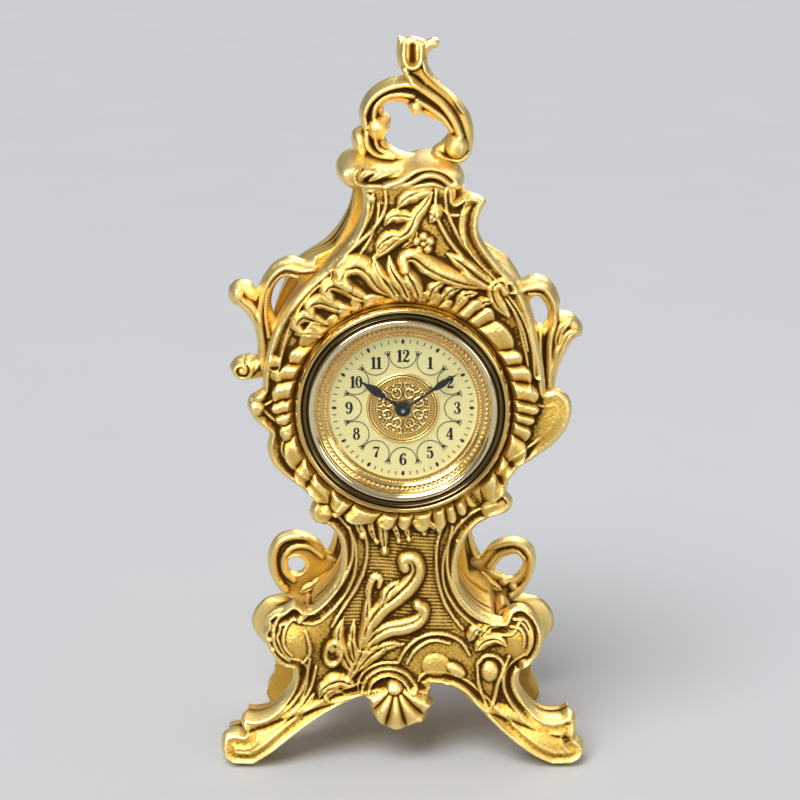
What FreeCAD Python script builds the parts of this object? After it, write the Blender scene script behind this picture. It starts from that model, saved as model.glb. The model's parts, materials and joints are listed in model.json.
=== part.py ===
import FreeCAD, Part
import math
import os

# A gilt cast-metal mantel clock with a wound drum movement.
# Millimetres.  +Z is up, the dial faces -Y, +X is to the right of someone reading the dial.
# The origin is on the shelf under the middle of the clock.

# ---- driving dimensions -------------------------------------------------------------------
dial_height = 149.0          # height of the hands' axis above the shelf
front_face = -24.0           # front of the drum of the case
rear_face = 24.0             # back of the drum of the case
foot_reach = 36.0            # how far the feet stand out in front and behind
half_width = 74.9            # from the middle to the tip of a front foot
side_arch = (22.0, 33.0)     # half width and height of the arch between a front and a rear leg
neck_top = 238.0             # where the finial's cap sits
casting_wall = 3.0           # thickness of the cast walls
dial_opening = 37.6          # radius of the hole in the front casting
rear_opening = 31.5          # radius of the hole in the rear casting
bezel_radius = 42.7
glass_radius = 35.2
sight_radius = 29.6          # inside radius of the beaded ring
can_radius = 36.0            # drum of the movement
can_wall = 0.6
plate_radius = 32.0          # movement plates

# Depths of the movement, along Y.
dial_front = -22.2
dial_back = -21.6
dial_plate_back = -20.8
front_plate_y = (-16.5, -15.0)
back_plate_y = (2.0, 3.5)
can_back = 13.0
cover_back = 14.0

# Train: teeth and modules, from the barrel to the escape wheel and from the cannon to the hour wheel.
barrel_teeth, centre_pinion_teeth, barrel_module = 72, 9, 0.40
centre_teeth, third_pinion_teeth, centre_module = 64, 8, 0.30
third_teeth, fourth_pinion_teeth, third_module = 60, 8, 0.26
fourth_teeth, escape_pinion_teeth, fourth_module = 60, 6, 0.24
minute_teeth, cannon_teeth, cannon_module = 36, 12, 0.30
hour_teeth, minute_pinion_teeth = 40, 10
mesh_backlash = 0.02         # added to each centre distance

arbor_radius = 0.5
centre_arbor_radius = 0.75
running_gap = 0.05           # radial clearance of every turning fit
hour_hand_turn = 304.6       # degrees clockwise from twelve
minute_hand_turn = 55.2

V = FreeCAD.Vector


# ---- helpers ------------------------------------------------------------------------------
def centre_distance(teeth_a, teeth_b, module):
    return module * (teeth_a + teeth_b) / 2 + mesh_backlash


def polar(start, distance, degrees):
    angle = math.radians(degrees)
    return (start[0] + distance * math.cos(angle), start[1] + distance * math.sin(angle))


def direction(start, end):
    return math.degrees(math.atan2(end[1] - start[1], end[0] - start[0]))


def at(place, y):
    """A point of the movement, whose places are measured from the hands' axis."""
    return V(place[0], y, dial_height + place[1])


def rod(place, radius, y_start, y_end):
    return Part.makeCylinder(radius, y_end - y_start, at(place, y_start), V(0, 1, 0))


def tube(place, outer, inner, y_start, y_end):
    return rod(place, outer, y_start, y_end).cut(rod(place, inner, y_start - 1, y_end + 1))


def turned(profile):
    """Solid of revolution about the hands' axis; the profile is a list of (radius, y)."""
    points = [V(radius, y, dial_height) for radius, y in profile]
    face = Part.Face(Part.makePolygon(points + points[:1]))
    return face.revolve(V(0, 0, dial_height), V(0, 1, 0), 360)


def flat(points, y_start, y_end):
    """Straight-sided plate; the points are (x, z) from the hands' axis."""
    corners = [at(point, y_start) for point in points]
    return Part.Face(Part.makePolygon(corners + corners[:1])).extrude(V(0, y_end - y_start, 0))


def edge_through(points, y):
    spots = [V(x, y, z) for x, z in points]
    if len(spots) == 2:
        return Part.LineSegment(spots[0], spots[1]).toShape()
    curve = Part.BSplineCurve()
    curve.interpolate(Points=spots)
    return curve.toShape()


def slab(runs, y_start, y_end):
    """Plate bounded by smooth runs of (x, z) points; each run starts where the last one ends."""
    edges = []
    last = runs[-1][-1]
    for run in runs:
        points = list(run) if run[0] == last else [last] + list(run)
        last = run[-1]
        if len(points) > 1:
            edges.append(edge_through(points, y_start))
    return Part.Face(Part.Wire(edges)).extrude(V(0, y_end - y_start, 0))


def fused(pieces):
    return pieces[0].multiFuse(pieces[1:]).removeSplitter()


def softened(solid, edges, radius):
    """Fillet that leaves the solid as it was where the edges are too tight for it."""
    try:
        rounded = solid.makeFillet(radius, edges)
        return rounded if rounded.isValid() and rounded.Volume > 0 else solid
    except Exception:
        return solid


nodes = {}


def keep(name, shape):
    nodes[name] = shape


# ---- places of the arbors, measured from the hands' axis --------------------------------------
centre = (0.0, 0.0)
barrel_at = polar(centre, centre_distance(barrel_teeth, centre_pinion_teeth, barrel_module), -90)
third_at = polar(centre, centre_distance(centre_teeth, third_pinion_teeth, centre_module), 45)
fourth_at = polar(third_at, centre_distance(third_teeth, fourth_pinion_teeth, third_module), 150)
escape_at = polar(fourth_at, centre_distance(fourth_teeth, escape_pinion_teeth, fourth_module), 190)
pallet_at = polar(escape_at, 6.0, 215)
balance_at = polar(pallet_at, 7.4, 262)
minute_distance = centre_distance(minute_teeth, cannon_teeth, cannon_module)
minute_at = polar(centre, minute_distance, 20)
hour_module = (minute_distance - mesh_backlash) * 2 / (hour_teeth + minute_pinion_teeth)
click_at = (9.2, barrel_at[1] - 3.0)


# ---- toothed wheels -------------------------------------------------------------------------------
wheel_form = {"thick": 0.44, "head": 1.0, "root": 1.2, "tip": 0.35}
pinion_form = {"thick": 0.32, "head": 0.5, "root": 1.5, "tip": 0.50}


def toothed(place, teeth, module, form, phase, y_start, y_end):
    """Toothed disc; phase is the direction of one tooth, in degrees."""
    pitch_radius = teeth * module / 2
    tip_radius = pitch_radius + form["head"] * module
    mid_radius = pitch_radius + form["head"] * module * 0.55
    root_radius = pitch_radius - form["root"] * module
    half = 360 / teeth * form["thick"] / 2
    outline = []
    for tooth in range(teeth):
        middle = phase + tooth * 360 / teeth
        steps = [(root_radius, -half), (pitch_radius, -half), (mid_radius, -half * 0.75),
                 (tip_radius, -half * form["tip"])]
        steps += [(radius, -turn) for radius, turn in reversed(steps)]
        outline += [polar(place, radius, middle + turn) for radius, turn in steps]
    return flat(outline, y_start, y_end)


def crossed_out(wheel, place, rim, hub, spokes, y_start, y_end, spoke_width=1.0):
    """Open windows between the spokes of a wheel."""
    ring = tube(place, rim, hub, y_start - 1, y_end + 1)
    bars = []
    for spoke in range(spokes):
        bar = Part.makeBox(rim + 1, y_end - y_start + 4, spoke_width,
                           at((place[0], place[1] - spoke_width / 2), y_start - 2))
        bar.rotate(at(place, 0), V(0, 1, 0), spoke * 360 / spokes)
        bars.append(bar)
    return wheel.cut(ring.cut(fused(bars)))


def spiral_strip(place, inner, outer, turns, thick, y_start, y_end):
    """Coiled flat spring made of half turns about two close centres."""
    halves = turns * 2
    step = (outer - inner) / halves
    bands = []
    for half in range(halves):
        radius = inner + step * (half + 0.5)
        side = 1 if half % 2 == 0 else -1
        middle = (place[0] + side * step / 2, place[1])
        ring = tube(middle, radius + thick / 2, radius - thick / 2, y_start, y_end)
        size = outer * 4
        corner = (middle[0] - size / 2, middle[1] if side > 0 else middle[1] - size)
        block = Part.makeBox(size, y_end - y_start + 2, size, at(corner, y_start - 1))
        bands.append(ring.common(block))
    return fused(bands)


# ---- case: the two castings -------------------------------------------------------------------------
# Outline of the front casting, seen from the front, starting on the left of the neck and going
# clockwise.  Each run is smooth; there is a corner between one run and the next.
neck_line = [[(20.5, neck_top)]]
right_flame = [[(20.5, 233)],
               [(24, 235), (28.5, 235), (32.3, 232.5), (31, 229.5), (29.6, 225), (29.8, 220),
                (32.5, 214.8), (37, 209), (44, 201.5)]]
right_drum = [[(47.5, 195), (50.5, 188), (53, 179), (55, 170), (56.3, 161), (56.8, 156)],
              [(61.5, 156.8), (66, 153.5), (67.4, 148), (65.8, 141.5), (61, 134.5), (54, 128.5),
               (47, 124)],
              [(43, 119), (42, 113.5)],
              [(44.3, 110), (43, 105.5), (37, 103.2), (31, 100)]]
right_waist = [[(26.5, 95), (23.6, 89), (22.2, 82), (22.8, 75), (25.8, 69), (30.5, 64), (36, 60.8),
                (41, 60)]]
right_leg = [[(43.5, 64.5), (48.5, 66), (53.5, 63), (57, 57.5), (57.6, 51), (55.5, 44), (50, 39)],
             [(47.8, 36), (48.2, 31), (51, 26), (55, 21.8), (60, 19.4), (65, 19.3)],
             [(68.5, 21), (71.2, 19), (71.4, 15), (71, 11.5)],
             [(73.5, 9.8), (half_width - 0.1, 7.2), (74.0, 2.8), (70, 0)],
             [(61, 0)],
             [(55, 2.8), (48, 7.5), (41, 12.8), (35, 18.2), (29, 24), (23, 29), (17, 31.6),
              (12, 32)]]
shell_drop = [[(10.8, 27.5)],
              [(12.8, 25), (10.4, 22.5), (9.4, 18.2), (5.2, 17), (0, 14.6), (-5.5, 14.9), (-10, 17),
               (-12.6, 20.5), (-14, 26.5)]]
left_leg = [[(-16, 27.6)],
            [(-24, 24.4), (-32, 20.2), (-40, 15), (-48, 9.2), (-55, 4), (-61, 0)],
            [(-70, 0)],
            [(-74, 3), (-half_width, 7.5), (-74, 12), (-70, 13.7), (-65.6, 13.8)],
            [(-66.8, 17), (-65.5, 20), (-61, 19.8), (-56, 21), (-51, 24.5), (-47.4, 29),
             (-45.4, 34), (-45.2, 38.4)],
            [(-50, 40), (-54.2, 45), (-57, 51), (-57, 57), (-54.5, 62.5), (-49, 65)],
            [(-44.5, 67.6), (-40.5, 65.5), (-37, 64.8)]]
left_waist = [[(-32, 69.3), (-28, 74.5), (-25.6, 80.5), (-25, 87), (-26, 93.5), (-30, 99)]]
left_drum = [[(-35.5, 100.6), (-38, 105), (-36.2, 110)],
             [(-41, 114.8), (-47, 119.5), (-52.3, 125.5), (-54.4, 132), (-53.4, 138.5)],
             [(-58.5, 143), (-61.4, 147.2), (-61.8, 151.8), (-59.5, 155), (-56, 157)],
             [(-55.4, 164), (-53.6, 173), (-50.2, 182.5), (-45, 191.5), (-38, 199.6), (-30, 206.6)]]
left_neck = [[(-23.6, 213), (-18.6, 220), (-15.9, 227), (-15.4, 233), (-16.2, neck_top)]]

front_outline = (neck_line + right_flame + right_drum + right_waist + right_leg + shell_drop
                 + left_leg + left_waist + left_drum + left_neck)


def side_profile(runs, shift=0.0, wide=200):
    """Prism along X from a side profile of smooth runs of (y, z) points; flat at both ends."""
    edges = []
    last = None
    for run in runs:
        points = ([last] if last else []) + list(run)
        last = run[-1]
        spots = [V(-wide / 2, y + shift, z) for y, z in points]
        curve = Part.BSplineCurve()
        curve.interpolate(Points=spots)
        edges.append(curve.toShape())
    foot, head = runs[0][0], runs[-1][-1]
    corners = [V(-wide / 2, head[0] + shift, head[1]), V(-wide / 2, 0, head[1]),
               V(-wide / 2, 0, foot[1]), V(-wide / 2, foot[0] + shift, foot[1])]
    edges += [Part.LineSegment(start, end).toShape() for start, end in zip(corners, corners[1:])]
    return Part.Face(Part.Wire(edges)).extrude(V(wide, 0, 0))


front_profile = [[(-foot_reach, 0), (-35.4, 8), (-32.6, 20), (-29.8, 36), (-27.3, 56),
                  (-25.0, 76), (front_face, 100)],
                 [(front_face, 194)],
                 [(-23.4, 208), (-22.0, 224), (-20.5, neck_top)]]
rear_profile = [[(foot_reach, 0), (35.0, 8), (31.5, 20), (28.5, 36), (26.3, 56), (24.8, 76),
                 (rear_face, 100)],
                [(rear_face, 194)],
                [(22.8, 207), (20.2, 224), (17.5, neck_top)]]

# Screws that hold the two castings together: places seen from the front (x, z above the shelf).
case_screw_places = [(-25, 196), (27, 196), (-25, 104), (27, 104), (-40, 50), (40, 50)]


def shelf_point(place):
    """A place given by its height above the shelf, as a place from the hands' axis."""
    return (place[0], place[1] - dial_height)


base_room = [[(-15, 44)], [(-15, 30), (-9, 22), (0, 18), (6, 20)], [(12, 36), (22, 36)], [(22, 44)],
             [(-15, 44)]]


def front_casting_body():
    return slab(front_outline, 0, -foot_reach - 2).common(side_profile(front_profile))


def hollowed(body, rooms, profile, wall_shift, depth):
    """Cut the rooms out of a casting, leaving a wall behind its outer face."""
    inner = side_profile(profile, wall_shift)
    rooms_solid = fused([slab(room, 0, depth) for room in rooms]).common(inner)
    return body.cut(rooms_solid)


neck_room = [[(-20, 188), (-21, 208)], [(-15.5, 215), (-12.2, 224), (-11.8, 234)], [(16, 234)],
             [(17, 224), (22, 214), (33, 202)], [(36, 190)], [(-20, 188)]]
waist_room = [[(-21, 112), (-21.5, 80)], [(-26, 70), (-34, 62), (-46, 58)], [(-46, 44)],
              [(-18, 40), (16, 44), (46, 46)], [(46, 57)], [(34, 57.5), (24, 64), (19, 74), (19, 88),
              (24, 104)], [(24, 112)], [(-21, 112)]]
left_leg_room = [[(-40, 45), (-41, 36)], [(-44, 26), (-50, 20.5), (-58, 16)], [(-66, 10), (-64, 4.5)],
                 [(-56, 7.5), (-46, 14.5), (-36, 21.5), (-26, 27)], [(-22, 45)], [(-40, 45)]]
right_leg_room = [[(24, 47), (27, 32)], [(34, 24.5), (42, 17), (52, 9), (60, 4.5)], [(67, 5), (66, 14)],
                  [(58, 15.6), (50, 21), (44.5, 28), (43.5, 36)], [(44, 47)], [(24, 47)]]


def leg_arch():
    """Tunnel along X that leaves four separate feet."""
    half, height = side_arch
    steps = 24
    points = [V(-100, half * math.cos(math.pi * step / steps), height * math.sin(math.pi * step / steps))
              for step in range(steps + 1)]
    points += [V(-100, -half, -5), V(-100, half, -5)]
    return Part.Face(Part.makePolygon(points + points[:1])).extrude(V(200, 0, 0))


def front_case():
    body = front_casting_body()
    rooms = [neck_room, waist_room, left_leg_room, right_leg_room, base_room]
    body = hollowed(body, rooms, front_profile, casting_wall, -foot_reach)
    body = body.cut(rod(centre, 48.5, front_face + casting_wall, 1))
    body = body.cut(leg_arch())
    bosses = []
    for place in case_screw_places:
        wall_depth = front_face + 1 if place[1] > 80 else front_face - 2
        bosses.append(rod(shelf_point(place), 4.0, wall_depth, 0))
    body = fused([body] + bosses)
    body = body.cut(rod(centre, dial_opening, front_face - 1, 1))
    for place in case_screw_places:
        body = body.cut(rod(shelf_point(place), 1.55, front_face + 6, 1))
    body = body.cut(finial_stud_hole())
    keep("front_case", body)


# Half outline of the rear casting, from the neck down the right side to the middle of the apron.
rear_half = [[(20.5, neck_top)],
             [(20.6, 229), (24, 219), (31, 209.5), (43, 201)],
             [(47.5, 194), (51, 186), (54, 176), (56, 165), (56.6, 154), (55, 143), (50.6, 131.5),
              (44.5, 121.5), (38, 113)],
             [(33.6, 105), (30.4, 96), (29, 87), (30, 78), (33.5, 69.5), (39, 61.5), (45, 55),
              (52, 51)],
             [(59.5, 48.5), (64.6, 42), (65.4, 35), (62, 28), (57, 23.5)],
             [(55.3, 18), (56.6, 12), (59.4, 6), (58.5, 2), (56, 0)],
             [(47, 0)],
             [(45, 5.5), (40.5, 12.5), (34, 19), (25, 24.5), (13, 27.6), (0, 28.4)]]


def rear_case():
    body = slab(rear_runs(), 0, foot_reach + 2).common(side_profile(rear_profile))
    waist = [[(-19, 112), (-19, 80)], [(-22, 70), (-31, 59), (-46, 50)], [(-50, 44)], [(-48, 36)],
             [(-20, 34), (20, 34), (48, 36)], [(50, 44)], [(46, 50), (31, 59), (22, 70), (19, 80)],
             [(19, 112)], [(-19, 112)]]
    neck = [[(-24, 190), (-27, 206)], [(-19.5, 216), (-16.5, 226), (-16.3, 234)], [(16.3, 234)],
            [(16.5, 226), (19.5, 216), (27, 206)], [(24, 190)], [(-24, 190)]]
    leg = [[(58, 42)], [(51.5, 27), (51, 16), (55, 6)], [(49.5, 4)], [(44, 14), (36, 22)], [(36, 42)]]
    other_leg = [[(-x, z) for x, z in run] for run in leg]
    base = [[(-30, 42)], [(-26, 20)], [(26, 20)], [(30, 42)], [(-30, 42)]]
    rooms = [waist, neck, leg, other_leg, base]
    body = hollowed(body, rooms, rear_profile, -casting_wall, foot_reach)
    body = body.cut(rod(centre, 50.0, -1, rear_face - casting_wall)).cut(leg_arch())
    bosses = []
    for place in case_screw_places:
        bosses.append(rod(shelf_point(place), 4.2, 0, 23.0))
    body = fused([body] + bosses + [rear_ear(-1), rear_ear(1)])
    body = body.cut(rod(centre, rear_opening, -1, rear_face + 1))
    for place in case_screw_places:
        body = body.cut(rod(shelf_point(place), 1.7, -1, 40))
        body = body.cut(rod(shelf_point(place), 3.3, 21.0, 40))
    keep("rear_case", body)


def rear_runs():
    half = rear_half
    flipped = []
    chain = [point for run in half for point in run]
    lengths = [len(run) for run in half]
    position = len(chain)
    for length in reversed(lengths):
        start = position - length
        run = chain[max(start - 1, 0):position - 1]
        flipped.append([(-x, z) for x, z in reversed(run)])
        position = start
    flipped[-1] = [(-chain[0][0], chain[0][1])]
    return half + flipped[:-1]


def rear_ear(side):
    """Rounded lug beside the waist on the rear casting, pierced by one hole."""
    y_start, y_end = 15.0, 20.0
    if side < 0:
        runs = [[(-30, 52)], [(-44, 50), (-52, 54), (-57, 63), (-57.4, 73), (-53, 80.5), (-45, 82.5),
                 (-37, 79), (-32, 73)], [(-27, 70)], [(-30, 52)]]
        ear = slab(runs, y_start, y_end)
        return ear.cut(rod(shelf_point((-45.5, 67)), 3.5, y_start - 1, y_end + 1))
    runs = [[(30, 52)], [(45, 50), (52, 55), (56.5, 66), (55.5, 75), (48, 79.5), (39, 77.5),
             (33, 71)], [(27, 69)], [(30, 52)]]
    hole = [[(39, 65)], [(43, 70), (48.5, 71.3), (51, 67), (46.5, 61.5), (39, 65)]]
    return slab(runs, y_start, y_end).cut(slab(hole, y_start - 1, y_end + 1))


# ---- ornaments fixed to the case ------------------------------------------------------------------------
finial_stud_at = (2.0, -8.0)     # x and y of the stud under the finial


def finial_stud_hole():
    return Part.makeCylinder(2.05, 12, V(finial_stud_at[0], finial_stud_at[1], neck_top - 9))


def finial():
    cap = [[(-24.2, 242.5), (-21.5, 247), (-16, 247.6), (-8, 245.8), (0, 246.6), (8, 247.8), (16, 246.8),
            (21, 244.2), (23.6, 240)], [(22, 238)], [(-20, 238)], [(-24.2, 242.5)]]
    loop = [[(18, 246)],
            [(23.5, 244), (27, 250), (27.8, 257), (26, 264), (21.5, 270), (15.5, 275), (11, 279.5),
             (9, 284), (9, 289), (12.6, 291.6), (12.4, 294)],
            [(6, 293), (-1.6, 294)],
            [(-2.2, 288), (-1.6, 283), (0.4, 278.4)],
            [(-7, 276.8), (-13.4, 272), (-16.6, 265), (-15.8, 258.4)],
            [(-19, 255), (-18.6, 250.5), (-15, 245)],
            [(18, 246)]]
    gap = [[(-8.5, 256.5)],
           [(-4.2, 250), (2, 247.6), (10, 247.4)],
           [(16, 252), (18.3, 256.4), (15.6, 261), (10.4, 263.4), (7, 264)],
           [(4.6, 263), (2.6, 265.4), (1.4, 269), (-4, 269), (-7.8, 265.4)],
           [(-6, 259.5), (-8.5, 256.5)]]
    cap_solid = slab(cap, -15.5, 13.5)
    loop_solid = slab(loop, -6.5, 4.5)
    body = fused([cap_solid, loop_solid]).cut(slab(gap, -20, 20))
    ball_places = [(-10.5, 259, 4.2), (20.5, 251, 4.6)]
    balls = [Part.makeSphere(radius, V(x, -1, z)) for x, z, radius in ball_places]
    stud = Part.makeCylinder(2.0, 14, V(finial_stud_at[0], finial_stud_at[1], neck_top - 13))
    keep("finial", fused([body, stud] + balls))
    nut = Part.makeCylinder(3.6, 2.4, V(finial_stud_at[0], finial_stud_at[1], 231.6))
    nut = nut.cut(Part.makeCylinder(2.0 + running_gap, 6, V(finial_stud_at[0], finial_stud_at[1], 230)))
    keep("finial_nut", nut)


def wings():
    casting = front_casting_body()
    left = [[(-30, 204)], [(-34, 207.5), (-39, 206.5), (-45, 208), (-51, 205.5), (-55.5, 200),
             (-58.4, 194)],
            [(-61, 197.6), (-66, 198.4), (-69.6, 194.5), (-69, 189.5), (-64.6, 186.4), (-60.6, 181),
             (-58.8, 174)],
            [(-58.6, 167)], [(-62, 167.2), (-66.5, 166.5), (-69.8, 162.6), (-68, 158.6), (-63, 157),
             (-56, 157.6)], [(-50, 157)], [(-30, 204)]]
    left_gap = [[(-41.5, 197.5)], [(-46, 199.8), (-50.4, 196.5), (-52.6, 189.5), (-51, 182.5)],
                [(-46, 189.6), (-41.5, 197.5)]]
    solid = slab(left, -14, -3).cut(slab(left_gap, -15, -2))
    keep("left_wing", solid.cut(casting))
    right = [[(44, 196)], [(47, 198.6), (53, 200.6), (59, 197.6), (62.6, 191), (62.4, 185.8)],
             [(67.6, 184.6), (71.6, 180), (72, 176.2), (68.4, 173.6)], [(65.4, 168), (62.4, 160),
             (61.2, 151)], [(50, 151)], [(44, 196)]]
    right_gap = [[(50.8, 190)], [(53.8, 191.6), (57.4, 187), (57.6, 182), (54.4, 180.2),
                 (50.8, 184.8), (50.8, 190)]]
    solid = slab(right, -14, -3).cut(slab(right_gap, -15, -2))
    keep("right_wing", solid.cut(casting))


def slotted_screw(place, shank, shank_start, head_start, head, head_height):
    """Screw along +Y whose head faces the back."""
    body = rod(place, shank, shank_start, head_start)
    top = rod(place, head, head_start, head_start + head_height)
    slot = Part.makeBox(head * 2 + 1, head_height / 2, 0.7,
                        at((place[0] - head - 0.5, place[1] - 0.35), head_start + head_height / 2))
    return fused([body, top]).cut(slot)


def case_screws():
    screws = [slotted_screw(shelf_point(place), 1.5, front_face + 8, 21.0, 3.0, 2.0)
              for place in case_screw_places]
    keep("case_screws", Part.makeCompound(screws))


# ---- dial side of the movement ------------------------------------------------------------------------
def bezel():
    rim = [(can_radius + running_gap, -10), (37.2, -10), (37.2, front_face), (bezel_radius, front_face),
           (bezel_radius, -27.0), (42.3, -28.4), (41.4, -29.2), (40.8, -29.0), (40.2, -28.0),
           (39.2, -27.3), (38.1, -27.4), (37.4, -28.6), (36.8, -29.0), (35.4, -28.4),
           (34.6, -27.6), (34.6, -27.2), (glass_radius + 0.1, -27.2), (glass_radius + 0.1, -22.1),
           (can_radius + running_gap, -22.1)]
    keep("bezel", turned(rim))


def glass():
    crown, edge, thick = -29.4, -27.1, 1.3
    rise = edge - crown
    sphere_radius = (glass_radius ** 2 + rise ** 2) / (2 * rise)
    middle = V(0, crown + sphere_radius, dial_height)
    outer = Part.makeSphere(sphere_radius, middle)
    inner = Part.makeSphere(sphere_radius - thick, middle)
    shell = outer.cut(inner)
    keep("glass", shell.common(rod(centre, glass_radius, crown - 1, edge + 1.5)))


def dial_parts():
    ring = [(glass_radius, -25.4), (34.5, -25.4), (33.2, -24.6), (32.2, -24.4), (31.0, -23.6),
            (sight_radius, -23.0), (sight_radius, dial_front), (glass_radius, dial_front)]
    keep("bead_ring", turned(ring))
    keep("dial", tube(centre, glass_radius, 3.2, dial_front, dial_back))
    boss = [(3.2, dial_front), (3.2, -22.7), (9.6, -22.7), (10.4, -22.5), (13.0, -22.5), (13.4, -22.9),
            (14.2, -22.9), (14.7, -22.4), (14.7, dial_front)]
    keep("dial_centre", turned(boss))
    plate = rod(centre, can_radius - can_wall - running_gap, dial_back, dial_plate_back)
    plate = plate.cut(rod(centre, 3.4, dial_back - 1, dial_plate_back + 1))
    keep("dial_plate", plate)
    feet = []
    for turn in (70, 190, 310):
        place = polar(centre, 27.0, turn)
        feet.append(rod(place, 1.6, dial_plate_back, front_plate_y[0]))
    keep("dial_feet", Part.makeCompound(feet))


def hand_blade(turn, y_start, thick, runs, boss_radius, hole_radius):
    """Hand pointing at twelve, then turned clockwise; the runs outline its right half and left half."""
    shifted = [[(x, dial_height + z) for x, z in run] for run in runs]
    blade = slab(shifted, y_start, y_start + thick)
    boss = rod(centre, boss_radius, y_start - 0.1, y_start + thick + 0.1)
    hand = fused([blade, boss]).cut(rod(centre, hole_radius, y_start - 2, y_start + 2))
    hand.rotate(at(centre, 0), V(0, 1, 0), turn)
    return hand


def hands():
    hour_half = [[(0.55, 1), (0.5, 9)], [(1.1, 10.6), (1.75, 13.2), (1.3, 16), (0.5, 17.6)], [(0.12, 21.4)]]
    minute_half = [[(0.45, 1), (0.4, 14)], [(0.9, 15.8), (1.4, 18.6), (1.0, 21.4), (0.4, 23)],
                   [(0.1, 29)]]
    for name, half, turn, y_start, boss, hole in (
            ("hour_hand", hour_half, hour_hand_turn, -24.2, 2.9, 2.0),
            ("minute_hand", minute_half, minute_hand_turn, -25.4, 2.1, 1.2)):
        points = [run for run in half]
        left = [[(-half[2][0][0], half[2][0][1])],
                [(-x, z) for x, z in reversed([half[0][-1]] + half[1][:-1])],
                [(-half[0][0][0], half[0][0][1])], [half[0][0]]]
        runs = [half[0][1:]] + points[1:] + left
        keep(name, hand_blade(turn, y_start, 0.4, runs, boss, hole))
    nut = rod(centre, 1.35, -26.6, -25.6).cut(rod(centre, centre_arbor_radius + running_gap, -27, -25))
    keep("hand_nut", nut)


def motion_works():
    toward_minute = direction(centre, minute_at)
    pinion = toothed(centre, cannon_teeth, cannon_module, pinion_form,
                     toward_minute + 180 / cannon_teeth, -19.3, -17.2)
    pipe = rod(centre, 1.2, -25.5, -17.0)
    cannon = fused([pinion, pipe]).cut(rod(centre, centre_arbor_radius + running_gap, -26, -16))
    keep("cannon_pinion", cannon)

    back = direction(minute_at, centre)
    wheel = toothed(minute_at, minute_teeth, cannon_module, wheel_form, back, -19.0, -18.3)
    wheel = crossed_out(wheel, minute_at, 4.4, 1.9, 4, -19.0, -18.3, 0.9)
    leaf = toothed(minute_at, minute_pinion_teeth, hour_module, pinion_form,
                   back + 180 / minute_pinion_teeth, -20.4, -19.0)
    body = fused([wheel, leaf, rod(minute_at, 1.0, -18.3, -17.4)])
    keep("minute_wheel", body.cut(rod(minute_at, arbor_radius + running_gap, -21, -16)))

    hour = toothed(centre, hour_teeth, hour_module, wheel_form, toward_minute, -20.2, -19.6)
    hour = crossed_out(hour, centre, 4.7, 2.6, 4, -20.2, -19.6, 0.9)
    collar = rod(centre, 2.0, -24.35, -19.6)
    keep("hour_wheel", fused([hour, collar]).cut(rod(centre, 1.2 + running_gap, -25, -19)))


# ---- plates, barrel and train ------------------------------------------------------------------------------
pillar_turns = (20, 125, 208, 328)
pillar_circle = 29.2


def plates():
    front_y, back_y = front_plate_y, back_plate_y
    stud = rod(minute_at, arbor_radius, -20.6, front_y[1])
    front = rod(centre, plate_radius, *front_y)
    back = rod(centre, plate_radius, *back_y)
    front = front.cut(rod(centre, centre_arbor_radius + running_gap, front_y[0] - 1, front_y[1] + 1))
    back = back.cut(rod(centre, centre_arbor_radius + running_gap, back_y[0] - 1, back_y[1] + 1))
    for place, radius in ((barrel_at, 1.6), (third_at, arbor_radius), (fourth_at, arbor_radius),
                          (escape_at, arbor_radius), (pallet_at, arbor_radius),
                          (balance_at, arbor_radius)):
        hole = radius + running_gap
        front = front.cut(rod(place, hole, front_y[0] - 1, front_y[1] + 1))
        opening = 1.3 if place == balance_at else hole
        back = back.cut(rod(place, opening, back_y[0] - 1, back_y[1] + 1))
    pillars = []
    pillar_nuts = []
    for turn in pillar_turns:
        place = polar(centre, pillar_circle, turn)
        post = rod(place, 1.9, front_y[1], back_y[0])
        pillars.append(fused([post, rod(place, 1.0, front_y[0], back_y[1] + 1.8)]))
        front = front.cut(rod(place, 1.05, front_y[0] - 1, front_y[1] + 1))
        back = back.cut(rod(place, 1.05, back_y[0] - 1, back_y[1] + 1))
        pillar_nuts.append(tube(place, 2.1, 1.05, back_y[1], back_y[1] + 1.5))
    for place in cover_screw_places:
        back = back.cut(rod(place, 1.05, back_y[0] - 1, back_y[1] + 1))
    back = back.cut(rod(click_at, 0.75, back_y[0] - 1, back_y[1] + 1))
    back = back.cut(rod(cock_screw_at, 1.05, back_y[0] - 1, back_y[1] + 1))
    keep("front_plate", fused([front, stud]))
    keep("back_plate", back)
    keep("plate_pillars", Part.makeCompound(pillars))
    keep("pillar_nuts", Part.makeCompound(pillar_nuts))


def barrel():
    toward_centre = direction(barrel_at, centre)
    teeth = toothed(barrel_at, barrel_teeth, barrel_module, wheel_form, toward_centre, -12.6, -11.1)
    drum = rod(barrel_at, 12.6, -11.1, -1.6)
    body = fused([teeth, drum]).cut(rod(barrel_at, 12.0, -11.6, -1.0))
    keep("barrel", body.cut(rod(barrel_at, 1.6 + running_gap, -14, 0)))
    lid = tube(barrel_at, 12.0, 1.6 + running_gap, -2.6, -1.6)
    keep("barrel_cover", lid)
    spring = spiral_strip(barrel_at, 3.4, 11.6, 9, 0.34, -10.6, -3.4)
    keep("mainspring", spring)
    axle = fused([rod(barrel_at, 1.6, front_plate_y[0], back_plate_y[1] + 0.1),
                  rod(barrel_at, 3.1, -11.4, -2.8)])
    square = Part.makeBox(2.2, 20.0, 2.2, at((barrel_at[0] - 1.1, barrel_at[1] - 1.1), 3.0))
    keep("barrel_arbor", fused([axle, square]))


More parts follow.
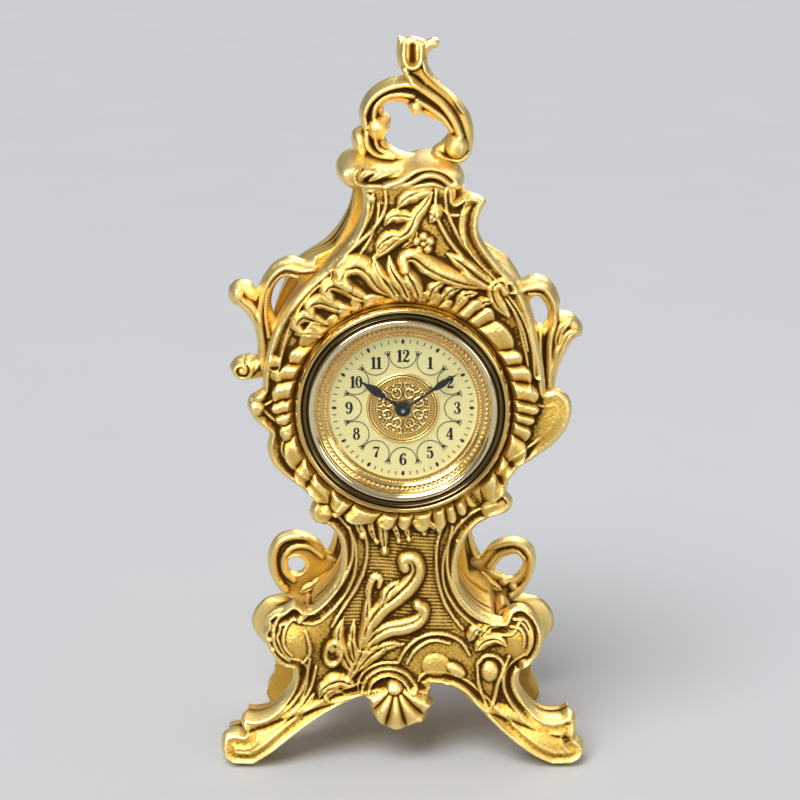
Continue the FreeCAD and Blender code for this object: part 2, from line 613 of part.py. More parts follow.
def ratchet():
    teeth, tip, root = 18, 5.4, 4.5
    outline = []
    for tooth in range(teeth):
        turn = tooth * 360 / teeth
        outline.append(polar(barrel_at, root, turn))
        outline.append(polar(barrel_at, tip, turn + 1.5))
    wheel = flat(outline, back_plate_y[1] + 0.4, back_plate_y[1] + 1.6)
    square = Part.makeBox(2.3, 10.0, 2.3, at((barrel_at[0] - 1.15, barrel_at[1] - 1.15), 0))
    keep("ratchet_wheel", wheel.cut(square))

    y_start, y_end = back_plate_y[1] + 0.4, back_plate_y[1] + 1.5
    nose = polar(barrel_at, 5.75, -6)
    tail = polar(click_at, 4.2, -38)
    beak = [polar(click_at, 1.3, 60), nose, polar(nose, 1.4, -90), polar(click_at, 1.6, 215)]
    arm = [polar(click_at, 1.2, 50), polar(tail, 0.5, 60), polar(tail, 0.5, -130),
           polar(click_at, 1.2, 230)]
    body = fused([rod(click_at, 1.7, y_start, y_end), flat(beak, y_start, y_end),
                  flat(arm, y_start, y_end)])
    keep("click", body.cut(rod(click_at, 0.75 + running_gap, 0, 8)))
    screw = fused([rod(click_at, 0.75, back_plate_y[0], y_end + 0.1),
                   rod(click_at, 1.5, y_end + 0.1, y_end + 0.8)])
    keep("click_screw", screw)
    anchor = (14.6, click_at[1] - 5.4)
    tip = (tail[0] - 0.2, tail[1] - 1.0)
    bow = ((anchor[0] + tip[0]) / 2 + 0.5, (anchor[1] + tip[1]) / 2 - 1.6)
    blade = [anchor, bow, tip, (tip[0], tip[1] + 0.3), (bow[0], bow[1] + 0.35), (anchor[0], anchor[1] + 0.4)]
    foot_block = rod(anchor, 0.9, back_plate_y[1], y_end)
    keep("click_spring", fused([flat(blade, y_start, y_end), foot_block]))


def key():
    stem = rod(barrel_at, 2.4, 15.2, 26.5)
    bore = Part.makeBox(2.3, 9.0, 2.3, at((barrel_at[0] - 1.15, barrel_at[1] - 1.15), 14.5))
    wings_solid = []
    for side in (1, -1):
        ring = rod((barrel_at[0] + side * 5.6, barrel_at[1]), 4.6, 0, 1.5)
        ring = ring.cut(rod((barrel_at[0] + side * 6.2, barrel_at[1]), 2.5, -1, 3))
        ring.rotate(at(barrel_at, 0), V(1, 0, 0), 90)
        ring.translate(V(0, 29.6, 0.75))
        wings_solid.append(ring)
    neck = rod(barrel_at, 1.5, 26, 32)
    body = fused([stem.cut(bore), neck] + wings_solid)
    keep("winding_key", body)


def train():
    y_wheel, y_pinion = (-14.3, -13.4), (-12.9, -10.9)
    teeth = toothed(centre, centre_teeth, centre_module, wheel_form, direction(centre, third_at), *y_wheel)
    teeth = crossed_out(teeth, centre, 8.4, 2.6, 5, *y_wheel)
    pinion = toothed(centre, centre_pinion_teeth, barrel_module, pinion_form,
                     direction(centre, barrel_at) + 180 / centre_pinion_teeth, *y_pinion)
    pipe = rod(centre, 1.15, -14.6, -10.0)
    body = fused([teeth, pinion, pipe])
    keep("centre_wheel", body.cut(rod(centre, centre_arbor_radius + running_gap, -16, 0)))
    keep("centre_arbor", rod(centre, centre_arbor_radius, -26.9, 21.5))

    steps = (("third_wheel", third_at, centre, third_pinion_teeth, centre_module, (-14.7, -13.0),
              fourth_at, third_teeth, third_module, (-9.0, -8.2), 6.8),
             ("fourth_wheel", fourth_at, third_at, fourth_pinion_teeth, third_module, (-9.4, -7.8),
              escape_at, fourth_teeth, fourth_module, (-5.5, -4.8), 6.2))
    for (name, place, before, leaves, leaf_module, leaf_y,
         after, wheel_teeth, wheel_module, wheel_y, rim) in steps:
        leaf = toothed(place, leaves, leaf_module, pinion_form,
                       direction(place, before) + 180 / leaves, *leaf_y)
        wheel = toothed(place, wheel_teeth, wheel_module, wheel_form, direction(place, after), *wheel_y)
        wheel = crossed_out(wheel, place, rim, 1.8, 4, *wheel_y, spoke_width=0.8)
        axle = rod(place, arbor_radius, front_plate_y[0], back_plate_y[1])
        keep(name, fused([leaf, wheel, axle]))

    leaf = toothed(escape_at, escape_pinion_teeth, fourth_module, pinion_form,
                   direction(escape_at, fourth_at) + 180 / escape_pinion_teeth, -5.9, -4.4)
    tips, root, tip = 15, 3.4, 4.6
    outline = []
    for tooth in range(tips):
        turn = tooth * 360 / tips
        outline += [polar(escape_at, root, turn - 7), polar(escape_at, tip, turn),
                    polar(escape_at, tip, turn + 2.5), polar(escape_at, root, turn + 4)]
    wheel = crossed_out(flat(outline, -2.6, -2.0), escape_at, 2.9, 1.1, 4, -2.6, -2.0, 0.5)
    axle = rod(escape_at, 0.4, front_plate_y[0], back_plate_y[1])
    keep("escape_wheel", fused([leaf, wheel, axle]))


def escapement():
    inward = direction(pallet_at, escape_at)
    y_start, y_end = -2.6, -2.0
    arms = [rod(pallet_at, 0.9, y_start - 0.4, y_end + 0.4)]
    for side in (1, -1):
        jewel = polar(escape_at, 5.3, inward + 180 + side * 31)
        along = direction(pallet_at, jewel)
        arms.append(flat([polar(pallet_at, 0.6, along + 90), polar(jewel, 0.4, along + 90),
                          polar(jewel, 0.4, along - 90), polar(pallet_at, 0.6, along - 90)],
                         y_start, y_end))
    outward = direction(pallet_at, balance_at)
    fork = [polar(pallet_at, 0.5, outward + 90), polar(polar(pallet_at, 4.6, outward), 0.35, outward + 90),
            polar(polar(pallet_at, 4.6, outward), 0.35, outward - 90), polar(pallet_at, 0.5, outward - 90)]
    arms.append(flat(fork, y_start, y_end))
    for side in (1, -1):
        root_point = polar(polar(pallet_at, 4.4, outward), 0.25 * side, outward + 90)
        end_point = polar(polar(pallet_at, 6.2, outward), 0.75 * side, outward + 90)
        arms.append(flat([polar(root_point, 0.25, outward + 90), polar(end_point, 0.2, outward + 90),
                          polar(end_point, 0.2, outward - 90), polar(root_point, 0.25, outward - 90)],
                         y_start, y_end))
    axle = rod(pallet_at, 0.4, front_plate_y[0], back_plate_y[1])
    keep("pallet_lever", fused(arms + [axle]))

    rim = tube(balance_at, 8.0, 7.0, 5.2, 6.4)
    bar = Part.makeBox(15, 0.8, 1.4, at((balance_at[0] - 7.5, balance_at[1] - 0.7), 5.4))
    staff = rod(balance_at, 0.4, front_plate_y[0], 9.5)
    collet = rod(balance_at, 0.9, 5.0, 7.9)
    roller = rod(balance_at, 1.1, -3.6, -2.9)
    finger = rod(polar(balance_at, 0.85, direction(balance_at, pallet_at)), 0.2, -2.95, -2.75)
    weights = [rod(polar(balance_at, 8.1, turn), 0.6, 5.3, 6.3) for turn in range(15, 375, 30)]
    keep("balance_wheel", fused([rim, bar, staff, collet, roller, finger] + weights))

    keep("hairspring", spiral_strip(balance_at, 1.2, 4.4, 6, 0.1, 7.0, 7.6))


cock_screw_at = polar(balance_at, 12.2, 235)


def cock():
    foot = rod(cock_screw_at, 2.6, back_plate_y[1], 8.6)
    along = direction(cock_screw_at, balance_at)
    bridge = [polar(cock_screw_at, 2.6, along + 90), polar(balance_at, 1.9, along + 90),
              polar(balance_at, 1.9, along - 90), polar(cock_screw_at, 2.6, along - 90)]
    body = fused([foot, rod(cock_screw_at, 2.6, 8.6, 9.8), flat(bridge, 8.6, 9.8),
                  rod(balance_at, 1.9, 8.6, 9.8), rod(balance_at, 1.2, 9.8, 10.6)])
    stud_at = polar(balance_at, 4.5, along + 180)
    body = fused([body, rod(stud_at, 0.5, 7.6, 8.6)])
    body = body.cut(rod(balance_at, 0.4 + running_gap, 5, 10.2))
    body = body.cut(rod(cock_screw_at, 1.05, 0, 12))
    keep("balance_cock", body)
    keep("cock_screw", slotted_screw(cock_screw_at, 1.0, back_plate_y[0], 9.8, 1.9, 0.9))
    ring = tube(balance_at, 2.2, 1.2 + running_gap, 9.9, 10.5)
    far = polar(balance_at, 8.5, 70)
    near = polar(balance_at, 1.8, 70)
    pointer = flat([polar(near, 0.5, 160), polar(far, 0.2, 160), polar(far, 0.2, -20),
                    polar(near, 0.5, -20)], 9.9, 10.5)
    keep("regulator", fused([ring, pointer]))


# ---- drum of the movement and its fastening -------------------------------------------------------------
cover_screw_places = [(-21, 17), (21, 17)]
strap_screw_places = [(-11, 21), (11, 21)]


def can_and_cover():
    keep("movement_can", tube(centre, can_radius, can_radius - can_wall, dial_front + 0.1, can_back))
    cover = rod(centre, can_radius, can_back, cover_back)
    cover = cover.cut(rod(centre, centre_arbor_radius + 0.8, can_back - 1, cover_back + 1))
    cover = cover.cut(rod(barrel_at, 2.6, can_back - 1, cover_back + 1))
    slot = tube(balance_at, 8.8, 7.0, can_back - 1, cover_back + 1)
    slot_window = flat([balance_at, polar(balance_at, 14, 40), polar(balance_at, 14, 100)],
                       can_back - 1, cover_back + 1)
    cover = cover.cut(slot.common(slot_window))
    posts = [rod(place, 2.2, back_plate_y[1], can_back) for place in cover_screw_places]
    lugs = [rod(place, 2.6, cover_back, rear_face) for place in strap_screw_places]
    cover = fused([cover] + posts + lugs)
    for place in cover_screw_places:
        cover = cover.cut(rod(place, 1.05, 0, cover_back + 1))
    for place in strap_screw_places:
        cover = cover.cut(rod(place, 1.25, cover_back + 1, rear_face + 1))
    keep("rear_cover", cover)
    keep("cover_screws", Part.makeCompound(
        [slotted_screw(place, 1.0, back_plate_y[0], cover_back, 1.9, 0.9) for place in cover_screw_places]))


def strap():
    thick = 1.6
    bar = Part.makeBox(68, thick, 9, at((-34, 16.5), rear_face))
    for place in strap_screw_places:
        bar = bar.cut(rod(place, 1.4, rear_face - 1, rear_face + 4))
    keep("clamp_strap", softened(bar, [edge for edge in bar.Edges if abs(edge.Length - thick) < 0.01], 3.5))
    keep("strap_screws", Part.makeCompound(
        [slotted_screw(place, 1.2, cover_back + 2, rear_face + thick, 2.4, 1.2)
         for place in strap_screw_places]))


def knob():
    grip = rod(centre, 4.6, 16.2, 21.0)
    grooves = [rod(polar(centre, 4.9, turn), 0.45, 15, 22) for turn in range(0, 360, 20)]
    grip = grip.cut(fused(grooves))
    collar = rod(centre, 2.4, 15.0, 16.2)
    keep("setting_knob", fused([grip, collar]).cut(rod(centre, centre_arbor_radius + 0.02, 14, 23)))


# ---- build everything
front_case()
rear_case()
finial()
wings()
case_screws()
bezel()
glass()
dial_parts()
hands()
motion_works()
plates()
barrel()
ratchet()
key()
train()
escapement()
cock()
can_and_cover()
strap()
knob()

os.makedirs("parts", exist_ok=True)
whole = FreeCAD.BoundBox()
for name, shape in nodes.items():
    shape.exportStep("parts/" + name + ".step")
    whole.add(shape.BoundBox)
    if not shape.isValid():
        print("not valid:", name)
    if len(shape.Solids) != 1:
        print(name, "has", len(shape.Solids), "solids")
print(len(nodes), "nodes, box", [round(value, 2) for value in (
    whole.XMin, whole.XMax, whole.YMin, whole.YMax, whole.ZMin, whole.ZMax)])
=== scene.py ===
import bpy
import json
import math
import numpy as np
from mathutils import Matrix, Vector
from mathutils.kdtree import KDTree
from mathutils.geometry import delaunay_2d_cdt


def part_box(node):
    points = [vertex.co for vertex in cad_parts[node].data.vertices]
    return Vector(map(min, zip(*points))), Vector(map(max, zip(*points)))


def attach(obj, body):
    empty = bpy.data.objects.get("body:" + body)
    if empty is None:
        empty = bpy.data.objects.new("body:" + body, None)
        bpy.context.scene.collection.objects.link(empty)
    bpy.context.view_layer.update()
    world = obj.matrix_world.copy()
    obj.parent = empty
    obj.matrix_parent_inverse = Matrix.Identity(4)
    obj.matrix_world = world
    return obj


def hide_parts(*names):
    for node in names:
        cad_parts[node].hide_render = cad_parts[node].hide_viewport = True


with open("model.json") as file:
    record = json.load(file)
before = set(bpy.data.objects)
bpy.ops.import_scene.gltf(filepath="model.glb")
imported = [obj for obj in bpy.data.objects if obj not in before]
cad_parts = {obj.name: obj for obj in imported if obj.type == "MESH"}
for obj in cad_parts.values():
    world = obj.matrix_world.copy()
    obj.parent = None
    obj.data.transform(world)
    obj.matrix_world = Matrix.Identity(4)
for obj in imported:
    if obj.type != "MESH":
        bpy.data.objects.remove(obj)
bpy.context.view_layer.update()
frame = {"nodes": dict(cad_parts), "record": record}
mm = 0.001

dialLow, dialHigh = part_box("dial")
dialZ = (dialLow.z + dialHigh.z) / 2 / mm  # height of the hands' axis
dialY = dialLow.y / mm  # front of the dial
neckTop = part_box("front_case")[1].z / mm


# smooth curve through the points
def catmull(points, perSpan=10):
    p = np.array(points, float)
    if len(p) == 2:
        return np.linspace(p[0], p[1], perSpan + 1)
    p = np.vstack([2 * p[0] - p[1], p, 2 * p[-1] - p[-2]])
    t = np.linspace(0, 1, perSpan, endpoint=False)[:, None]
    rows = []
    for i in range(1, len(p) - 2):
        a, b, c, d = p[i - 1], p[i], p[i + 1], p[i + 2]
        rows.append(0.5 * (2 * b + (c - a) * t + (2 * a - 5 * b + 4 * c - d) * t * t
                           + (3 * b - a - 3 * c + d) * t ** 3))
    return np.vstack(rows + [p[-2]])


# points evenly spaced along a path
def resample(path, step):
    seg = np.hypot(*np.diff(path[:, :2], axis=0).T)
    run = np.concatenate([[0], np.cumsum(seg)])
    count = max(2, int(round(run[-1] / step)) + 1)
    at = np.linspace(0, run[-1], count)
    return np.stack([np.interp(at, run, path[:, k]) for k in range(path.shape[1])], 1)


# closed outline from smooth runs with a corner between each two
def joinRuns(runs, step=0.7):
    rows = []
    last = runs[-1][-1]
    for run in runs:
        points = list(run) if run[0] == last else [last] + list(run)
        last = run[-1]
        if len(points) > 1:
            rows.append(resample(catmull(points, 12), step)[:-1])
    return np.vstack(rows)


# even-odd test of points against a closed outline
def insideOutline(points, outline):
    inside = np.zeros(len(points), bool)
    a = outline
    b = np.roll(outline, -1, axis=0)
    for (ax, az), (bx, bz) in zip(a, b):
        if az == bz:
            continue
        span = (points[:, 1] > min(az, bz)) & (points[:, 1] <= max(az, bz))
        cross = ax + (points[span, 1] - az) * (bx - ax) / (bz - az)
        inside[span] ^= points[span, 0] < cross
    return inside


# nearest distance, place along (0 to 1) and side of a path, for the points within reach
def pathField(points, path, reach):
    low = path.min(0) - reach
    high = path.max(0) + reach
    near = np.where((points > low).all(1) & (points < high).all(1))[0]
    q = points[near]
    best = np.full(len(q), 1e9)
    along = np.zeros(len(q))
    side = np.zeros(len(q))
    d = np.diff(path, axis=0)
    length = np.maximum(np.hypot(d[:, 0], d[:, 1]), 1e-9)
    start = np.concatenate([[0], np.cumsum(length)])
    for k in range(len(d)):
        w = q - path[k]
        u = np.clip((w @ d[k]) / length[k] ** 2, 0, 1)
        off = w - u[:, None] * d[k]
        gap = np.hypot(off[:, 0], off[:, 1])
        m = gap < best
        best[m] = gap[m]
        along[m] = (start[k] + u[m] * length[k]) / start[-1]
        side[m] = np.sign(d[k][0] * w[m, 1] - d[k][1] * w[m, 0])
    return near, best, along, side


# smooth bump, 1 at the middle and 0 from 1 outward
def bell(u):
    return np.where(np.abs(u) < 1, (1 - np.minimum(np.abs(u), 1) ** 2) ** 2, 0)

# smooth step from 0 to 1
def ease(u):
    u = np.clip(u, 0, 1)
    return u * u * (3 - 2 * u)


# half width at each place along a path that narrows toward its ends
def narrowed(half, t, ends):
    return half * np.interp(t, [0, 0.5, 1], [ends[0], 1, ends[1]])


# heights in mm of ornament over a field of (x, z) points
class Relief:

    def __init__(self, points, edge):
        self.p = points
        self.edge = edge  # distance in from the outline
        self.h = np.zeros(len(points))
        self.ground = np.zeros(len(points))

    # raise the ornament where the mask is set; what lies below shows through a little
    def over(self, near, lift, mask):
        raised = lift + 0.35 * self.h[near]
        self.h[near] = np.where(mask, np.maximum(self.h[near], raised), self.h[near])

    # rounded ridge that narrows and sinks toward its ends
    def ridge(self, points, half, rise, ends=(1.0, 1.0), smooth=True):
        path = catmull(points, 8) if smooth else np.array(points, float)
        near, d, t, side = pathField(self.p, path, half)
        u = d / np.maximum(narrowed(half, t, ends), 1e-6)
        lift = rise * np.clip(1 - u * u, 0, 1) ** 0.62
        self.over(near, lift * narrowed(1, t, (ends[0] ** 0.5, ends[1] ** 0.5)), u < 1)

    # wide smooth band between two fine rims
    def band(self, points, half, rise, rim=0.9):
        near, d, t, side = pathField(self.p, catmull(points, 8), half + 0.8)
        u = d / half
        body = rise * (1 - 0.45 * bell(u / 0.95))
        edge = rim * bell((d - half) / 0.75)
        inside = np.clip((half + 0.7 - d) / 0.5, 0, 1)
        lift = body * (u < 1.02) + rise * 0.6 * (u >= 1.02)
        self.over(near, lift * inside + edge, inside > 0)

    # leaf that swells from its stem and closes at its tip, with a middle groove and side lobes
    def leaf(self, points, half, rise, veins=0, tip=0.15):
        near, d, t, side = pathField(self.p, catmull(points, 8), half * 1.15)
        swell = np.sin(np.pi * np.clip(t, 0, 1) ** 0.75) ** 0.7
        w = half * np.maximum(swell, tip * (1 - t) + 0.25 * tip)
        if veins:
            w = w * (0.88 + 0.16 * np.abs(np.sin(np.pi * t * veins)))
        u = d / np.maximum(w, 1e-6)
        body = (1 - u ** 2.4) * (1 - 0.45 * np.exp(-(u / 0.16) ** 2))
        if veins:
            vein = 0.5 + 0.5 * np.cos(2 * np.pi * (t * veins + 0.35 * u))
            body = body * (1 - 0.22 * vein * ease(u * 2))
        arch = 0.55 + 0.45 * np.sin(np.pi * np.clip(t, 0.06, 0.94))
        self.over(near, rise * np.clip(body, 0, 1) * arch, u < 1)

    # oval dome, or a raised oval rim when ring gives the rim's share of the radius
    def boss(self, x, z, rx, rz, rise, turn=0.0, ring=0.0):
        a = math.radians(turn)
        dx = self.p[:, 0] - x
        dz = self.p[:, 1] - z
        u = np.hypot((dx * math.cos(a) + dz * math.sin(a)) / rx, (-dx * math.sin(a) + dz * math.cos(a)) / rz)
        near = np.where(u < 1)[0]
        lift = rise * np.sqrt(1 - u[near] ** 2)
        if ring:
            lift = rise * (0.35 + 0.65 * bell((u[near] - (1 - ring)) / ring))
            lift = lift * np.clip((1 - u[near]) / 0.1, 0, 1)
        self.over(near, lift, np.ones(len(near), bool))

    # leaf that thickens from its stem, with a crease along one side
    def curl(self, points, half, rise):
        near, d, t, side = pathField(self.p, catmull(points, 8), half * 1.1)
        w = half * np.interp(t, [0, 0.25, 0.65, 1], [0.3, 0.85, 1.0, 0.62])
        u = d / np.maximum(w, 1e-6)
        body = np.clip(1 - u * u, 0, 1) ** 0.55
        crease = 0.32 * np.exp(-((side * u - 0.25) / 0.16) ** 2)
        crease = crease * np.interp(t, [0, 0.1, 0.8, 1], [0, 1, 1, 0])
        lift = rise * np.interp(t, [0, 0.3, 1], [0.45, 0.8, 1.0]) * (body - crease)
        self.over(near, lift, u < 1)

    # spiral ridge that winds in to a round eye
    def volute(self, x, z, radius, half, rise, start, turns, eye=0.28, hand=1):
        t = np.linspace(0, 1, int(26 * turns) + 4)
        a = np.radians(start) + hand * 2 * np.pi * turns * t
        r = radius * (1 - t) ** 0.85 + radius * eye * t
        path = np.stack([x + r * np.cos(a), z + r * np.sin(a)], 1)
        self.ridge(path, half, rise, ends=(1, 0.7), smooth=False)
        self.boss(x, z, radius * eye * 1.15, radius * eye * 1.15, rise * 1.1)

    # rounded channel cut into what is there
    def groove(self, points, half, depth):
        near, d, t, side = pathField(self.p, catmull(points, 8), half)
        self.h[near] -= depth * bell(d / half)


# object with its place in its mesh; the verts are in mm
def newMesh(name, verts, faces, smooth=True):
    me = bpy.data.meshes.new(name)
    faces = faces if isinstance(faces, list) else faces.tolist()
    me.from_pydata((np.asarray(verts) * mm).tolist(), [], faces)
    me.validate()
    obj = bpy.data.objects.new(name, me)
    bpy.context.collection.objects.link(obj)
    me.polygons.foreach_set("use_smooth", [smooth] * len(me.polygons))
    return obj


# material, body and the CAD parts that the piece takes the place of
def finishPiece(obj, body, material, replaced=()):
    obj.data.materials.clear()
    obj.data.materials.append(material)
    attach(obj, body)
    if replaced:
        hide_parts(*replaced)
    return obj


# closed round loop of (x, z)
def circleLoop(x, z, radius, step=0.7):
    a = np.linspace(0, 2 * np.pi, max(10, int(2 * math.pi * radius / step)) + 1)[:-1]
    return np.stack([x + radius * np.cos(a), z + radius * np.sin(a)], 1)


# twice the area of a closed loop, above 0 when it runs anticlockwise
def signedArea(loop):
    return (loop[:, 0] * np.roll(loop[:, 1], -1) - np.roll(loop[:, 0], -1) * loop[:, 1]).sum()


# vectors brought to a length of 1
def unit(vectors):
    return vectors / np.maximum(np.hypot(vectors[:, 0], vectors[:, 1]), 1e-9)[:, None]


# triangles between closed loops (the first is the outside) that use the inner points
def triangulate(loops, inner):
    flat = [Vector(p) for loop in loops for p in loop] + [Vector(p) for p in inner]
    edges = []
    base = 0
    for loop in loops:
        edges += [(base + k, base + (k + 1) % len(loop)) for k in range(len(loop))]
        base += len(loop)
    made = delaunay_2d_cdt(flat, edges, [], 0, 1e-6, False)
    spots = np.array([tuple(v) for v in made[0]])
    tris = np.array(made[2])
    middle = spots[tris].mean(1)
    keep = insideOutline(middle, np.array(loops[0]))
    for loop in loops[1:]:
        keep &= ~insideOutline(middle, np.array(loop))
    tris = tris[keep]
    a, b, c = spots[tris[:, 0]], spots[tris[:, 1]], spots[tris[:, 2]]
    area = (b[:, 0] - a[:, 0]) * (c[:, 1] - a[:, 1]) - (b[:, 1] - a[:, 1]) * (c[:, 0] - a[:, 0])
    tris[area < 0] = tris[area < 0][:, ::-1]
    return spots, tris


# number of the loop's corner nearest to each point
def nearestCorner(points, loop):
    tree = KDTree(len(loop))
    for k, (x, z) in enumerate(loop):
        tree.insert((x, z, 0), k)
    tree.balance()
    return np.array([tree.find((x, z, 0))[1] for x, z in points])


# distance to the nearest of the loops, by nearest corner and its two edges
def edgeDistance(points, loops):
    best = np.full(len(points), 1e9)
    for loop in loops:
        nearest = nearestCorner(points, loop)
        for shift in (-1, 0):
            a = loop[(nearest + shift) % len(loop)]
            b = loop[(nearest + shift + 1) % len(loop)]
            d = b - a
            u = np.clip(((points - a) * d).sum(1) / np.maximum((d * d).sum(1), 1e-9), 0, 1)
            best = np.minimum(best, np.hypot(*(points - a - u[:, None] * d).T))
    return best


# staggered grid of points inside the first loop and outside the others
def gridInside(loops, step, margin):
    low, high = loops[0].min(0), loops[0].max(0)
    rows = []
    for j, z in enumerate(np.arange(low[1] + step / 2, high[1], step * 0.866)):
        xs = np.arange(low[0] + (j % 2) * step / 2, high[0], step)
        rows.append(np.stack([xs, np.full(len(xs), z)], 1))
    p = np.vstack(rows)
    keep = insideOutline(p, loops[0])
    for loop in loops[1:]:
        keep &= ~insideOutline(p, loop)
    p = p[keep]
    d = edgeDistance(p, loops)
    return p[d > margin], d[d > margin]


# outward normals of a closed loop, smoothed over its corners
def loopNormals(loop):
    d = np.roll(loop, -1, axis=0) - np.roll(loop, 1, axis=0)
    n = unit(np.stack([d[:, 1], -d[:, 0]], 1))
    if signedArea(loop) < 0:
        n = -n
    for smoothing in range(3):
        n = (np.roll(n, 1, axis=0) + n + np.roll(n, -1, axis=0)) / 3
    return unit(n)


# walls: rings of points, where they reach the core, and grooves (cut, depth behind the edge, half width)
wall = {"rings": 14, "holeRings": 2, "coreDepth": 9.0, "coreReach": 8.0, "grooveTop": 234.0,
        "grooves": [(0.9, 4.2, 1.6), (0.7, 8.4, 1.5)]}
# share of the ornament's height left at the outline, the width of that fade, and the plain sheet's grid
sheet = {"rimShare": 0.4, "rimFade": 1.8, "plainStep": 2.5, "plainMargin": 1.4}


# one ring of a wall: the loop drawn in toward the core and grooved
def wallRing(loop, normal, depth, core):
    place = loop + (core(loop, normal) - loop) * ease(depth / wall["coreDepth"])[:, None]
    groove = sum(cut * bell((depth - at) / half) for cut, at, half in wall["grooves"])
    groove = groove * ease((wall["grooveTop"] - loop[:, 1]) / 4)
    return place - normal * groove[:, None]


# triangles between two neighbouring rings of a wall
def wallBand(upper, lower, forward):
    a, b = upper, np.roll(upper, -1)
    c, d = np.roll(lower, -1), lower
    quad = np.stack([a, d, c, b] if forward else [a, b, c, d], 1)
    return np.vstack([quad[:, [0, 1, 2]], quad[:, [0, 2, 3]]])


# closed casting: an ornamented sheet, a plain sheet behind it, and moulded walls between their edges
def castingBody(name, loops, outerY, innerY, shape, facing, core, step=0.5, extra=None):
    loops = [np.array(loop) for loop in loops]
    corners = [loop.tolist() for loop in loops]
    inner = gridInside(loops, step, step * 0.55)[0]
    if extra is not None:
        keep, more = extra(inner)
        inner = np.vstack([inner[keep], more])
    spots, tris = triangulate(corners, inner)
    edge = edgeDistance(spots, loops[:1])
    edge[:len(loops[0])] = 0
    relief = Relief(spots, edge)
    shape(relief)
    relief.h *= sheet["rimShare"] + (1 - sheet["rimShare"]) * ease(edge / sheet["rimFade"])
    outer = facing * (outerY(spots) + relief.ground + relief.h)
    plain, plainTris = triangulate(corners, gridInside(loops, sheet["plainStep"], sheet["plainMargin"])[0])
    plainEdge = edgeDistance(plain, loops[:1])
    plainEdge[:len(loops[0])] = 0
    pull = np.clip(1 - plainEdge / wall["coreReach"], 0, 1)[:, None]
    moved = core(plain, loopNormals(loops[0])[nearestCorner(plain, loops[0])] * pull)
    backY = facing * innerY(plain, plainEdge)
    verts = [np.stack([spots[:, 0], outer, spots[:, 1]], 1), np.stack([moved[:, 0], backY, moved[:, 1]], 1)]
    faces = [tris if facing < 0 else tris[:, ::-1],
             (plainTris[:, ::-1] if facing < 0 else plainTris) + len(spots)]
    base = len(spots) + len(plain)
    start = 0
    for number, loop in enumerate(loops):
        index = np.arange(start, start + len(loop))
        normal = loopNormals(loop)
        gap = backY[index] - outer[index]
        count = wall["rings"] if number == 0 else wall["holeRings"]
        rings = [index]
        for k in range(1, count):
            share = k / count
            place = wallRing(loop, normal, np.abs(gap) * share, core) if number == 0 else loop
            verts.append(np.stack([place[:, 0], outer[index] + gap * share, place[:, 1]], 1))
            rings.append(np.arange(base, base + len(loop)))
            base += len(loop)
        rings.append(index + len(spots))
        turn = (signedArea(loop) > 0) == (number == 0)
        faces += [wallBand(upper, lower, turn == (facing < 0)) for upper, lower in zip(rings[:-1], rings[1:])]
        start += len(loop)
    plainRange = (len(spots), len(spots) + len(plain))
    return newMesh(name, np.vstack(verts), np.vstack(faces)), plainRange


# closed ornament of rounded section, its two faces meeting along its outline
def plaque(name, loops, yFront, yBack, shape, step=0.5, roll=4.5, backShare=0.7, taper=None):
    loops = [np.array(loop) for loop in loops]
    inner, edge = gridInside(loops, step, step * 0.5)
    spots, tris = triangulate([loop.tolist() for loop in loops], inner)
    rim = sum(len(loop) for loop in loops)
    edge = edgeDistance(spots, loops)
    edge[:rim] = 0
    relief = Relief(spots, edge)
    shape(relief)
    half, mid = (yBack - yFront) / 2, (yFront + yBack) / 2
    bulge = np.sqrt(np.clip(1 - (1 - np.clip(edge / roll, 0, 1)) ** 2, 0, 1))
    lift = (relief.ground + relief.h) * ease(edge / 0.8)
    thin = 1 if taper is None else taper(spots)
    front = mid - (half * bulge + lift) * thin
    back = mid + (half * bulge + backShare * lift) * thin
    front[:rim] = mid
    verts = np.vstack([np.stack([spots[:, 0], front, spots[:, 1]], 1),
                       np.stack([spots[rim:, 0], back[rim:], spots[rim:, 1]], 1)])
    other = np.concatenate([np.arange(rim), np.arange(rim, len(spots)) + len(spots) - rim])
    return newMesh(name, verts, np.vstack([tris, other[tris][:, ::-1]]))


# reach of the smoothing that finds fine and broad hollows, and how strongly each counts
cavity = {"fine": 4, "broad": 40, "fineGain": 1.5, "broadGain": 0.95}


# point attributes from 0 to 1: recess in hollows, for brown patina and painted shade, crest on ridges, for a
# painted highlight; the plain range of points gets none
def markCavity(obj, plain=(0, 0), values=cavity):
    me = obj.data
    count = len(me.vertices)
    places = np.empty(count * 3, np.float32)
    me.vertices.foreach_get("co", places)
    places = places.reshape(-1, 3).astype(float)
    normals = np.empty(count * 3, np.float32)
    me.vertex_normals.foreach_get("vector", normals)
    normals = normals.reshape(-1, 3)
    edges = np.empty(len(me.edges) * 2, np.int32)
    me.edges.foreach_get("vertices", edges)
    edges = edges.reshape(-1, 2)
    here = np.concatenate([edges[:, 0], edges[:, 1]])
    other = np.concatenate([edges[:, 1], edges[:, 0]])
    degree = np.maximum(np.bincount(here, minlength=count), 1)
    soft = places.copy()
    hollow = {}
    for k in range(1, values["broad"] + 1):
        soft = np.stack([0.4 * soft[:, a] + 0.6 * np.bincount(here, soft[other, a], minlength=count) / degree
                         for a in range(3)], 1)
        if k in (values["fine"], values["broad"]):
            hollow[k] = ((soft - places) * normals).sum(1) / mm
    amount = values["fineGain"] * hollow[values["fine"]] + values["broadGain"] * hollow[values["broad"]]
    amount[plain[0]:plain[1]] = 0
    for label, level in (("recess", amount), ("crest", -amount)):
        attribute = me.attributes.new(label, "FLOAT", "POINT")
        attribute.data.foreach_set("value", np.clip(level, 0, 1).astype(np.float32))


